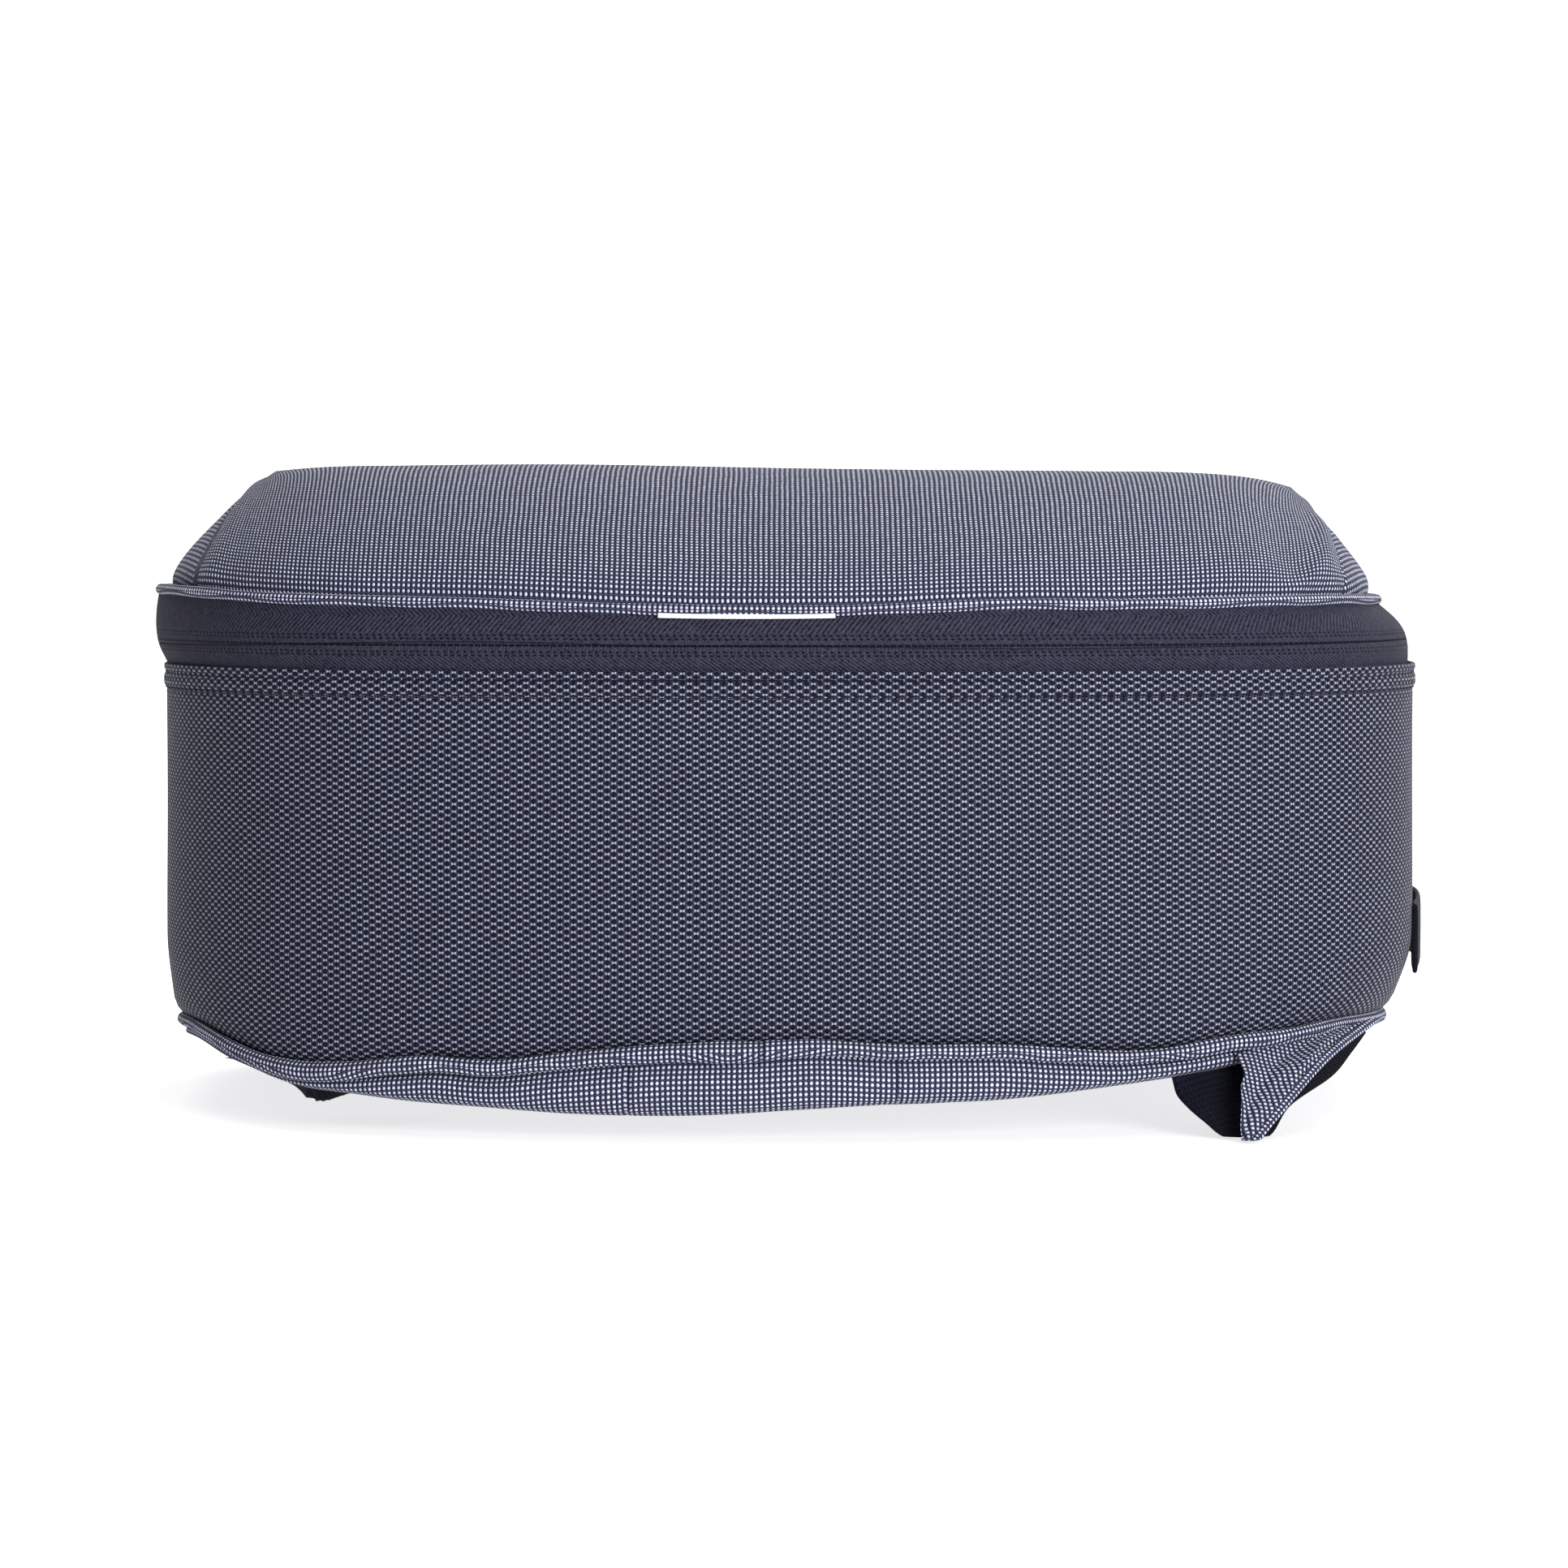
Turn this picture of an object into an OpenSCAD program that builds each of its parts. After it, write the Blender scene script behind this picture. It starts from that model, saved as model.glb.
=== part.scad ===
/* [Body] */
// Overall width of the body, left to right
body_w = 303; // [290:1:320]
// Overall depth of the body, front to back
body_d = 220; // [214:1:235]
// Plan radius of the bowed front
front_r = 300; // [280:5:330]
// Plan radius of the two front corners
corner_r = 85; // [80:1:90]
// Plan radius of the two rear corners
rear_r = 70; // [68:1:76]

/* [Heights] */
// Height of the lower edge of the charcoal wall above the floor
wall_bottom = 23; // [22:0.5:26]
// Height of the folded top edge of the charcoal wall
wall_top = 107; // [100:1:115]
// Distance from the wall's top edge up to the middle of the zip
zip_rise = 6.2; // [6:0.1:7]
// Distance from the middle of the zip up to the lid's seam
lid_rise = 9.2; // [9.2:0.1:10]
// Height of the domed lid above its seam
dome_h = 32; // [28:1:38]

/* [Fabric] */
// Thickness of the outer fabrics
fabric = 1.2; // [1:0.1:1.3]
// Thickness of the lining fabric
lining = 0.8; // [0.6:0.1:1]
// Thickness of the foam in the wall
wall_foam_t = 4; // [3.5:0.25:5]
// Thickness of the foam in the base
base_foam_t = 4; // [3:0.5:5]
// Thickness of the foam in the lid
lid_foam_t = 3; // [2:0.5:4]
// Height of the stitched hem at the top of the wall
hem_h = 5.6; // [5:0.1:8]
// Extra thickness of the folded hem
hem_t = 0.6; // [0.4:0.1:0.8]
// Thickness of the ribbon that binds the inner seams
ribbon_t = 0.8; // [0.6:0.1:1]
// Width of the ribbon that binds the inner seams
ribbon_w = 12; // [8:1:20]

/* [Piping] */
// Radius of the piping round the base
base_piping_r = 2.4; // [2:0.1:2.6]
// Radius of the piping round the lid
lid_piping_r = 1.35; // [1.2:0.05:1.5]
// Thickness of the fabric sleeve round the base piping's cord
sleeve = 0.45; // [0.4:0.05:0.5]

/* [Base] */
// Height of the rounded edge of the base panel
base_edge_z = 7; // [6:0.5:8]
// Width of the sloping border of the base panel, from the edge in to the flat middle
base_slope_w = 56; // [50:1:60]

/* [Lid] */
// How far the lid's seam lies inside the outline of the body
lid_inset = 2.9; // [2.7:0.1:3.3]
// How far the ends of the lid lean in on their way to the crown
end_lean = 38; // [30:1:45]
// Width of the blank label
label_w = 41; // [30:1:60]
// Height of the blank label
label_h = 6; // [5:0.5:7]
// How far the label hangs below the lid's seam
label_drop = 2.5; // [1:0.1:4]
// Distance of the label's middle from the middle of the lid
label_x = -10; // [-20:1:20]

/* [Zip] */
// Width of one zip tape, from the middle of the zip to its edge
tape_w = 16; // [14:0.5:18]
// Thickness of the zip tape
tape_t = 0.6; // [0.5:0.05:0.7]
// Gap between the two tapes
tape_gap = 1; // [1:0.05:1.1]
// Height of one coil across its turns
coil_w = 2.4; // [2.2:0.1:2.5]
// Thickness of the coil
coil_t = 2; // [1.8:0.1:2.1]
// Width of the fabric hinge strip
hinge_w = 70; // [60:1:80]
// Length of the slider body
slider_l = 11; // [10:0.5:12]
// Width of the slider body at its nose
slider_w = 8.8; // [8.6:0.1:9.2]
// Thickness of each plate of the slider
plate_t = 1.2; // [1:0.1:1.3]
// Thickness of the post that joins the slider's plates
post_t = 0.4; // [0.35:0.05:0.45]
// Length of the pull, from its pin to its tip
pull_l = 27; // [20:1:30]
// Width of the pull at its tip
pull_w = 6.4; // [5.6:0.1:7]
// Radius of the pull's pin
pin_r = 0.65; // [0.6:0.05:0.7]

/* [Handle] */
// Width of the handle's webbing
handle_w = 18; // [15:0.5:25]
// Thickness of the handle's webbing
webbing_t = 1.4; // [1.2:0.1:1.6]
// Height of the middle of the handle above the floor
handle_z = 41; // [38:1:60]
// Distance of the middle of the handle behind the middle of the body
handle_y = 24; // [20:1:26]
// Length of the free part of the handle
grip_l = 80; // [70:1:84]
// How far the free part bows out from its ends
grip_bow = 7; // [6.8:0.1:9]
// Length of each sewn end of the handle
patch_l = 11; // [8:1:14]

/* [Anchors] */
// Length of the anchor's seam along the corner
anchor_l = 44; // [36:1:48]
// Reach of the anchor from its seam to its tip
anchor_reach = 20.9; // [18:0.1:20.9]
// Angle of the corner at which the anchors are sewn, from straight ahead
anchor_turn = 40.5; // [36:0.5:45]

/* [Clearances] */
// Gap between the layers of one body
layer_gap = 0.2; // [0.15:0.05:0.2]
// Gap between pieces that move past each other
move_gap = 0.3; // [0.3:0.05:0.35]

/* [Hidden] */
$fn = 96;

// Colours
charcoal = [0.20, 0.21, 0.27];
grey = [0.50, 0.51, 0.57];
black = [0.06, 0.06, 0.08];
tape_black = [0.15, 0.15, 0.20];
foam_white = [0.85, 0.85, 0.82];
lining_grey = [0.33, 0.34, 0.38];
metal = [0.22, 0.22, 0.24];
white = [0.90, 0.90, 0.92];

// Plan of the body: a bowed front, two front corners, straight ends, two rear corners, a straight back.
front_cy = -body_d / 2 + front_r;
corner_cx = body_w / 2 - corner_r;
corner_cy = front_cy - sqrt(pow(front_r - corner_r, 2) - pow(corner_cx, 2));
front_turn = asin(corner_cx / (front_r - corner_r));
rear_cx = body_w / 2 - rear_r;
rear_cy = body_d / 2 - rear_r;
back_y = body_d / 2;

// Layers of the wall, as distances out from the plan's outline
tape_out = -fabric - layer_gap;
tape_in = tape_out - tape_t;
coil_out = tape_in - layer_gap;
coil_in = coil_out - coil_t;
foam_out = -fabric - layer_gap;
foam_in = tape_in - layer_gap - wall_foam_t;
lining_out = foam_in - layer_gap;
lining_in = lining_out - lining;
ribbon_out = lining_in - layer_gap;

// Heights
zip_z = wall_top + zip_rise;
tape_low = zip_z - tape_w;
tape_mid_low = zip_z - tape_gap / 2;
tape_mid_high = zip_z + tape_gap / 2;
seam_z = zip_z + lid_rise;
tail_top = seam_z - 1.1;
dome_z = seam_z + 1.2;
base_top = wall_bottom - layer_gap - 2 * base_piping_r - layer_gap;
rim_z = wall_top - 5;

// Hinge of the lid, behind the back wall
hinge_y = back_y + 2;

// Zip ends and sliders on the straight back
stop_l = 2;
stop_x = hinge_w / 2 + 1.2;
coil_end_x = stop_x + stop_l + layer_gap;
tail_end_x = rear_cx - move_gap;
slider_x = stop_x + stop_l + 0.7 + slider_l / 2;
plate_out_y = back_y + tape_out + move_gap;
plate_in_y = back_y + coil_in - move_gap;
pin_y = plate_out_y + plate_t + pin_r + 0.6;
arch_r = pin_r + 0.35;
arch_t = 0.9;
arch_w = 1.6;
pull_t = 1.2;
pull_arm = 1.3;
window_l = 4.2;

// Handle
handle_front_y = handle_y - grip_l / 2;
handle_rear_y = handle_y + grip_l / 2;
front_angle = asin((corner_cy - handle_front_y) / corner_r);
rear_angle = asin((handle_rear_y - rear_cy) / rear_r);
front_wall_x = handle_front_y < corner_cy ? corner_cx + corner_r * cos(front_angle) : body_w / 2;
rear_wall_x = rear_cx + rear_r * cos(rear_angle);

// Steps round each arc of the plan: fine for the walls, coarse for curved sheets
fine = 14;
coarse = 8;
dome_steps = 9;
dome_top = 0.10;
slope_steps = 5;
seam_step_front = 5;
seam_step_rear = 2;

// A rectangle as [out, z] points
function slab(out0, out1, z0, z1) = [[out0, z0], [out1, z0], [out1, z1], [out0, z1]];

function reversed(list) = [for (i = [len(list) - 1:-1:0]) list[i]];
function flat_list(lists) = [for (l = lists) each l];

// Points round an arc, from step first to step last of steps
function arc_points(centre, radius, from, turn, steps, first, last) =
    [for (i = [first:last]) centre + radius * [cos(from + turn * i / steps), sin(from + turn * i / steps)]];

// Outline of the plan moved out by out, from the rear end of the left end round the front to that of the right
function front_points(out, n) = concat(
    [[-body_w / 2 - out, rear_cy]],
    arc_points([-corner_cx, corner_cy], corner_r + out, 180, 90 - front_turn, n, 0, n),
    arc_points([0, front_cy], front_r + out, -90 - front_turn, 2 * front_turn, n, 1, n - 1),
    arc_points([corner_cx, corner_cy], corner_r + out, -90 + front_turn, 90 - front_turn, n, 0, n),
    [[body_w / 2 + out, rear_cy]]
);
function right_rear_points(out, n, first) = arc_points([rear_cx, rear_cy], rear_r + out, 0, 90, n, first, n);
function left_rear_points(out, n, last) = arc_points([-rear_cx, rear_cy], rear_r + out, 90, 90, n, 0, last);

// The whole outline, counter-clockwise
function plan_points(out, n) =
    concat(front_points(out, n), right_rear_points(out, n, 1), left_rear_points(out, n, n - 1));

// The outline but for the middle of the back, which stays open between -gap_x and gap_x
function open_points(out, gap_x) = concat(
    gap_x < rear_cx ? [[-gap_x, back_y + out]] : [],
    left_rear_points(out, fine, fine - 1),
    front_points(out, fine),
    right_rear_points(out, fine, 1),
    gap_x < rear_cx ? [[gap_x, back_y + out]] : []
);

module prism(points, z0, z1) {
    translate([0, 0, z0])
        linear_extrude(height = z1 - z0)
            polygon(points);
}

// Upright band between the distances out0 and out1, right round the plan
module ring(out0, out1, z0, z1) {
    translate([0, 0, z0])
        linear_extrude(height = z1 - z0)
            difference() {
                polygon(plan_points(out1, fine));
                polygon(plan_points(out0, fine));
            }
}

// The same, round the front and both ends
module front_band(out0, out1, z0, z1) {
    prism(concat(front_points(out1, fine), reversed(front_points(out0, fine))), z0, z1);
}

// The same, round the rear corners and the back
module rear_band(out0, out1, z0, z1) {
    outer = concat(right_rear_points(out1, fine, 0), left_rear_points(out1, fine, fine));
    inner = concat(right_rear_points(out0, fine, 0), left_rear_points(out0, fine, fine));
    prism(concat(outer, reversed(inner)), z0, z1);
}

// The same, open in the middle of the back
module open_ring(out0, out1, z0, z1, gap_x) {
    prism(concat(open_points(out1, gap_x), reversed(open_points(out0, gap_x))), z0, z1);
}

// Upright band along the straight back, from x0 to x1
module back_run(x0, x1, profile) {
    translate([x0, back_y, 0])
        rotate([90, 0, 90])
            linear_extrude(height = x1 - x0)
                polygon(profile);
}

// Upright band round one arc, between the radii r0 and r1
module arc_band(centre, r0, r1, from, turn, z0, z1) {
    translate([centre[0], centre[1], 0])
        rotate([0, 0, from])
            rotate_extrude(angle = turn, $fn = 180)
                polygon(slab(r0, r1, z0, z1));
}

// Two triangles of a four-sided face, and the same with its back to the front
function quad(a, b, c, d) = [[a, b, c], [a, c, d]];
function quad_back(a, b, c, d) = [[c, b, a], [d, c, a]];

// Closed section of [out, z] points swept right round the plan
module sweep(section) {
    m = len(section);
    n = len(plan_points(0, coarse));
    points = flat_list([for (p = section) [for (q = plan_points(p[0], coarse)) [q[0], q[1], p[1]]]]);
    faces = flat_list([for (k = [0:m - 1], i = [0:n - 1])
        let (j = (i + 1) % n, next = (k + 1) % m)
        quad(next * n + i, next * n + j, k * n + j, k * n + i)
    ]);
    polyhedron(points = points, faces = faces);
}

// Sheet between two stacks of rings, from the open rim to the closed middle. kept lists the steps round the
// rings that the sheet covers; where capped is true it covers the middle too. flip turns its faces over.
module sheet(outer, inner, kept, capped, flip) {
    n = len(outer[0]);
    levels = len(outer);
    deep = levels * n;
    top = deep - n;
    points = concat(flat_list(outer), flat_list(inner));
    around = [for (i = [0:n - 1]) if (kept[i]) i];
    skin = flat_list([for (i = around, k = [0:levels - 2])
        let (j = (i + 1) % n, a = k * n + i, b = k * n + j, c = b + n, d = a + n)
        concat(quad(d, c, b, a), quad_back(d + deep, c + deep, b + deep, a + deep))
    ]);
    rim = flat_list([for (i = around) let (j = (i + 1) % n) quad(i, j, deep + j, deep + i)]);
    sides = flat_list([for (i = around, k = [0:levels - 2])
        let (a = k * n + i, b = a + n, e = k * n + (i + 1) % n, f = e + n)
        concat(
            kept[(i + n - 1) % n] ? [] : quad(b, a, deep + a, deep + b),
            kept[(i + 1) % n] ? [] : quad_back(f, e, deep + e, deep + f)
        )
    ]);
    cap = capped ? [
        [for (i = [n - 1:-1:0]) top + i],
        [for (i = [0:n - 1]) deep + top + i]
    ] : [];
    edge = flat_list([for (i = [0:n - 1])
        let (j = (i + 1) % n, a = top + i, b = top + j)
        capped && !kept[i] ? quad(a, b, deep + b, deep + a) :
        !capped && kept[i] ? quad_back(a, b, deep + b, deep + a) : []
    ]);
    faces = concat(skin, rim, sides, cap, edge);
    polyhedron(points = points, faces = flip ? [for (f = faces) reversed(f)] : faces);
}

// Line of the base panel from its top edge, round its rounded edge and down the shallow slope to the flat
// middle, as [out, z] points, lifted into the body by lift
function base_line(lift) = concat(
    [
        [-0.3 - lift, base_top],
        [-0.3 - lift, base_edge_z + 5.5 + lift / 2],
        [-1 - lift, base_edge_z + 2.6 + 0.7 * lift]
    ],
    [for (i = [0:slope_steps]) [
        -4 - 0.6 * lift - (base_slope_w - 4) * i / slope_steps,
        base_edge_z * pow(1 - i / slope_steps, 1.3) + lift
    ]]
);

function base_rings(lift) =
    [for (p = base_line(lift)) [for (q = plan_points(p[0], coarse)) [q[0], q[1], p[1]]]];

// One layer of the base, from lift up by thick
module base_layer(lift, thick) {
    kept = [for (q = plan_points(0, coarse)) true];
    sheet(base_rings(lift), base_rings(lift + thick), kept, true, true);
}

// Wall and base

module base_panel() {
    color(grey) base_layer(0, fabric);
}

module base_foam() {
    color(foam_white) base_layer(fabric + layer_gap, base_foam_t);
}

module base_lining() {
    color(lining_grey) base_layer(fabric + base_foam_t + 2 * layer_gap, lining);
}

// Section of a round cord of radius r, or of its sleeve, which stays open by slit degrees at the back
function cord_section(out, z, r, n) =
    [for (i = [0:n - 1]) [out + r * cos(i * 360 / n), z + r * sin(i * 360 / n)]];
function sleeve_section(out, z, r, n, slit) =
    let (turns = [for (i = [0:n]) -180 + slit / 2 + (360 - slit) * i / n])
    concat(
        [for (t = turns) [out + r * cos(t), z + r * sin(t)]],
        [for (t = reversed(turns)) [out + (r - sleeve) * cos(t), z + (r - sleeve) * sin(t)]]
    );

base_piping_out = 0.6;
base_piping_z = wall_bottom - layer_gap - base_piping_r;

module base_piping() {
    color(grey) sweep(sleeve_section(base_piping_out, base_piping_z, base_piping_r, 10, 30));
}

module base_piping_cord() {
    color(foam_white)
        sweep(cord_section(base_piping_out, base_piping_z, base_piping_r - sleeve - layer_gap, 8));
}

// The charcoal wall, with its folded hem along the top
hem_z = wall_top - hem_h;

module wall_front() {
    color(charcoal) {
        front_band(-fabric, 0, wall_bottom, hem_z);
        front_band(-fabric, hem_t, hem_z, wall_top);
    }
}

module wall_back() {
    color(charcoal) {
        rear_band(-fabric, 0, wall_bottom, hem_z);
        rear_band(-fabric, hem_t, hem_z, wall_top);
    }
}

// The foam steps back behind the piping and behind the zip tape
module wall_foam() {
    piping_in = base_piping_out - base_piping_r - layer_gap;
    tape_step = tape_low - layer_gap;
    color(foam_white) {
        ring(foam_in, piping_in, base_top + layer_gap, wall_bottom);
        ring(foam_in, foam_out, wall_bottom, tape_step);
        ring(foam_in, tape_in - layer_gap, tape_step, rim_z);
    }
}

module wall_lining() {
    color(lining_grey) ring(lining_in, lining_out, base_top + layer_gap, rim_z);
}

// Ribbon folded over the top edges of the foam and the lining
module rim_binding() {
    top = rim_z + layer_gap;
    color(black) {
        ring(ribbon_out - ribbon_t, ribbon_out, top - ribbon_w / 2, top);
        ring(ribbon_out - ribbon_t, tape_in - layer_gap, top, top + ribbon_t);
    }
}

// Ribbon over the seam where the front wall meets the back wall, inside the right end
module seam_binding() {
    low = base_top + 1;
    high = rim_z - ribbon_w / 2;
    color(black)
        translate([body_w / 2 + ribbon_out - ribbon_t, rear_cy - ribbon_w, low])
            cube([ribbon_t, ribbon_w, high - low]);
}

module seam_binding_right() {
    seam_binding();
}

module seam_binding_left() {
    mirror([1, 0, 0]) seam_binding();
}

// Zip

module zip_tape_lower() {
    color(tape_black) open_ring(tape_in, tape_out, tape_low, tape_mid_low, stop_x);
}

module zip_coil_lower() {
    color(black) open_ring(coil_in, coil_out, tape_mid_low - coil_w, tape_mid_low, coil_end_x);
}

module zip_tape_upper() {
    color(tape_black) open_ring(tape_in, tape_out, tape_mid_high, seam_z - layer_gap, rear_cx);
}

module zip_coil_upper() {
    color(black) open_ring(coil_in, coil_out, tape_mid_high, tape_mid_high + coil_w, rear_cx);
}

// The last stretch of the upper tape, which stays with the base beside the hinge strip
module zip_tape_tail() {
    color(tape_black) back_run(stop_x, tail_end_x, slab(tape_in, tape_out, tape_mid_high, tail_top));
}

module zip_coil_tail() {
    color(black) back_run(coil_end_x, tail_end_x, slab(coil_in, coil_out, tape_mid_high, tape_mid_high + coil_w));
}

// Clamped stop at the end of the chain: an inner block and an outer plate, joined between the tapes
module zip_stop() {
    half = tape_gap / 2 + coil_w + 0.4;
    neck = tape_gap / 2 - 0.15;
    plate_out = tape_out + layer_gap;
    color(metal) back_run(stop_x, stop_x + stop_l, [
        [coil_in, zip_z - half], [coil_out, zip_z - half], [coil_out, zip_z - neck],
        [plate_out, zip_z - neck], [plate_out, zip_z - half],
        [plate_out + 0.7, zip_z - half + 0.6], [plate_out + 0.7, zip_z + half - 0.6],
        [plate_out, zip_z + half], [plate_out, zip_z + neck],
        [coil_out, zip_z + neck], [coil_out, zip_z + half], [coil_in, zip_z + half]
    ]);
}

module zip_tape_tail_right() {
    zip_tape_tail();
}

module zip_tape_tail_left() {
    mirror([1, 0, 0]) zip_tape_tail();
}

module zip_coil_tail_right() {
    zip_coil_tail();
}

module zip_coil_tail_left() {
    mirror([1, 0, 0]) zip_coil_tail();
}

module zip_stop_right() {
    zip_stop();
}

module zip_stop_left() {
    mirror([1, 0, 0]) zip_stop();
}

module hinge_strip() {
    end_x = stop_x - layer_gap;
    color(charcoal) back_run(-end_x, end_x, slab(tape_in - layer_gap, tape_out, tape_low, tail_top));
}

// Sliders: the nose points along -X, at the hinge strip

slider_half = slider_w / 2;
tail_half = slider_half - 0.3;
shoulder_r = 2;

module slider_outline() {
    nose = -slider_l / 2;
    tail = slider_l / 2;
    polygon([
        [nose + shoulder_r, -slider_half], [tail - 1, -tail_half], [tail, -tail_half + 1],
        [tail, tail_half - 1], [tail - 1, tail_half], [nose + shoulder_r, slider_half]
    ]);
    translate([nose, shoulder_r - slider_half]) square([shoulder_r, slider_w - 2 * shoulder_r]);
    for (side = [-1, 1])
        translate([nose + shoulder_r, side * (slider_half - shoulder_r)])
            circle(r = shoulder_r);
}

// A shape drawn as [x, z], standing upright from y0 to y1
module upright(y0, y1) {
    translate([0, y1, zip_z])
        rotate([90, 0, 0])
            linear_extrude(height = y1 - y0)
                children();
}

// A shape drawn as [x, y], as high as height and centred on the zip
module across(height) {
    translate([0, 0, zip_z - height / 2])
        linear_extrude(height = height)
            children();
}

// Two plates round the chain, joined by the post; low flanges wrap the coils; the arch holds the pull's pin
module slider() {
    flange_in = tape_gap / 2 + coil_w + move_gap;
    flange_y = back_y + tape_in - move_gap;
    post_x = -slider_l / 2 + 1;
    post_l = 3.5;
    color(metal) translate([slider_x, 0, 0]) {
        upright(plate_out_y, plate_out_y + plate_t) slider_outline();
        upright(plate_in_y - plate_t, plate_in_y) slider_outline();
        for (side = [-1, 1])
            upright(plate_in_y - 0.2, flange_y)
                translate([-slider_l / 2 + shoulder_r, side > 0 ? flange_in : -tail_half])
                    square([slider_l - shoulder_r - 1, tail_half - flange_in]);
        upright(plate_in_y - 0.2, plate_out_y + 0.2)
            translate([post_x, -post_t / 2])
                square([post_l, post_t]);
        across(arch_w) difference() {
            union() {
                translate([0, pin_y]) circle(r = arch_r + arch_t);
                translate([-arch_r - arch_t, plate_out_y + plate_t - 0.2])
                    square([2 * (arch_r + arch_t), pin_y - plate_out_y - plate_t + 0.2]);
            }
            translate([0, pin_y]) circle(r = arch_r);
            translate([-arch_r, plate_out_y + plate_t]) square([2 * arch_r, pin_y - plate_out_y - plate_t]);
        }
    }
}

// Pull: a pin under the arch, two arms beside it and a tapered plate with a slot near its tip
module pull() {
    arm_in = arch_w / 2 + 0.45;
    arm_out = arm_in + pull_arm;
    tip = pull_w / 2;
    slot_r = 1.2;
    color(metal) translate([slider_x, 0, 0]) {
        translate([0, pin_y, zip_z - arm_out]) cylinder(r = pin_r, h = 2 * arm_out);
        upright(pin_y - pull_t / 2, pin_y + pull_t / 2) difference() {
            union() {
                polygon([[0, -arm_out], [0, arm_out], [tip - pull_l, tip], [tip - pull_l, -tip]]);
                translate([tip - pull_l, 0]) circle(r = tip);
            }
            translate([-window_l, -arm_in]) square([window_l + 1, 2 * arm_in]);
            translate([tip - pull_l, 0]) circle(r = slot_r);
            translate([tip - pull_l, -slot_r]) square([6, 2 * slot_r]);
            translate([tip - pull_l + 6, 0]) circle(r = slot_r);
        }
    }
}

module slider_right() {
    slider();
}

module slider_left() {
    mirror([1, 0, 0]) slider();
}

module pull_right() {
    pull();
}

module pull_left() {
    mirror([1, 0, 0]) pull();
}

// Lid

// Share of the way in from the rim to the ridge, and share of the height, at the angle a round the dome
function dome_in(a) = 1 - pow(cos(a), 2 / 2.6);
function dome_up(a) = pow(sin(a), 2 / 1.75);

// How far the ends have leaned in at the share up of the height
function end_in(up) = end_lean * (1 - pow(max(0, 1 - pow(up, 1.3)), 1 / 2.2));

last_angle = acos(pow(dome_top, 1.3));

// Rings of points round the dome, on the surface that lies deep inside the cover
function dome_rings(deep) = [for (k = [0:dome_steps])
    let (
        a = last_angle * k / dome_steps,
        up = dome_up(a),
        half = body_w / 2 - lid_inset - deep,
        narrow = 1 - end_in(up) / half,
        shallow = 1 - dome_in(a)
    )
    [for (p = plan_points(-lid_inset - deep, coarse))
        [p[0] * narrow, p[1] * shallow, dome_z + (dome_h - deep) * up]]
];

// Steps round the dome that belong to its two end panels
ring_count = len(plan_points(0, coarse));
left_end_to = 1 + coarse - seam_step_front;
left_end_from = ring_count - seam_step_rear;
right_end_from = 1 + 2 * coarse + seam_step_front;
right_end_to = right_end_from + coarse - seam_step_front + 1 + seam_step_rear;

function in_left_end(i) = i < left_end_to || i >= left_end_from;
function in_right_end(i) = i >= right_end_from && i < right_end_to;

// Curved sheet of the dome, from deep below its surface down by thick
module dome_sheet(deep, thick, kept, capped) {
    sheet(dome_rings(deep), dome_rings(deep + thick), kept, capped, false);
}

all_steps = [for (i = [0:ring_count - 1]) true];
foam_deep = fabric + layer_gap;
lid_lining_deep = foam_deep + lid_foam_t + layer_gap;

module lid_cover() {
    kept = [for (i = [0:ring_count - 1]) !in_left_end(i) && !in_right_end(i)];
    color(grey) dome_sheet(0, fabric, kept, true);
}

module lid_end_left() {
    color(grey) dome_sheet(0, fabric, [for (i = [0:ring_count - 1]) in_left_end(i)], false);
}

module lid_end_right() {
    color(grey) dome_sheet(0, fabric, [for (i = [0:ring_count - 1]) in_right_end(i)], false);
}

module lid_foam() {
    color(foam_white) dome_sheet(foam_deep, lid_foam_t, all_steps, true);
}

module lid_lining() {
    color(lining_grey) dome_sheet(lid_lining_deep, lining, all_steps, true);
}

lid_piping_out = lid_piping_r - 2.25;
lid_piping_z = seam_z + lid_piping_r;

module lid_piping() {
    color(grey) sweep(cord_section(lid_piping_out, lid_piping_z, lid_piping_r, 8));
}

// Ribbon under the edges of the lid's layers
module lid_binding() {
    inner_out = -lid_inset - lid_lining_deep - lining;
    color(black) ring(inner_out, -lid_inset, seam_z + layer_gap, dome_z - layer_gap);
}

module label_blank() {
    turn = label_w / front_r * 180 / PI;
    middle = -90 + label_x / front_r * 180 / PI;
    label_t = 0.6;
    out = lid_piping_out + lid_piping_r + layer_gap;
    low = seam_z - label_drop;
    color(white)
        arc_band([0, front_cy], front_r + out, front_r + out + label_t, middle - turn / 2, turn, low, low + label_h);
}

// Handle on the right end: two sewn ends and the free part that bows out between them

handle_low = handle_z - handle_w / 2;
handle_high = handle_z + handle_w / 2;
patch_gap = 0.6;

module handle_patch_front() {
    turn = patch_l / corner_r * 180 / PI;
    gap = patch_gap / corner_r * 180 / PI;
    r = corner_r + layer_gap;
    color(black)
        arc_band([corner_cx, corner_cy], r, r + webbing_t, -front_angle - gap - turn, turn, handle_low, handle_high);
}

module handle_patch_rear() {
    turn = patch_l / rear_r * 180 / PI;
    gap = patch_gap / rear_r * 180 / PI;
    r = rear_r + layer_gap;
    color(black)
        arc_band([rear_cx, rear_cy], r, r + webbing_t, rear_angle + gap, turn, handle_low, handle_high);
}

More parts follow.
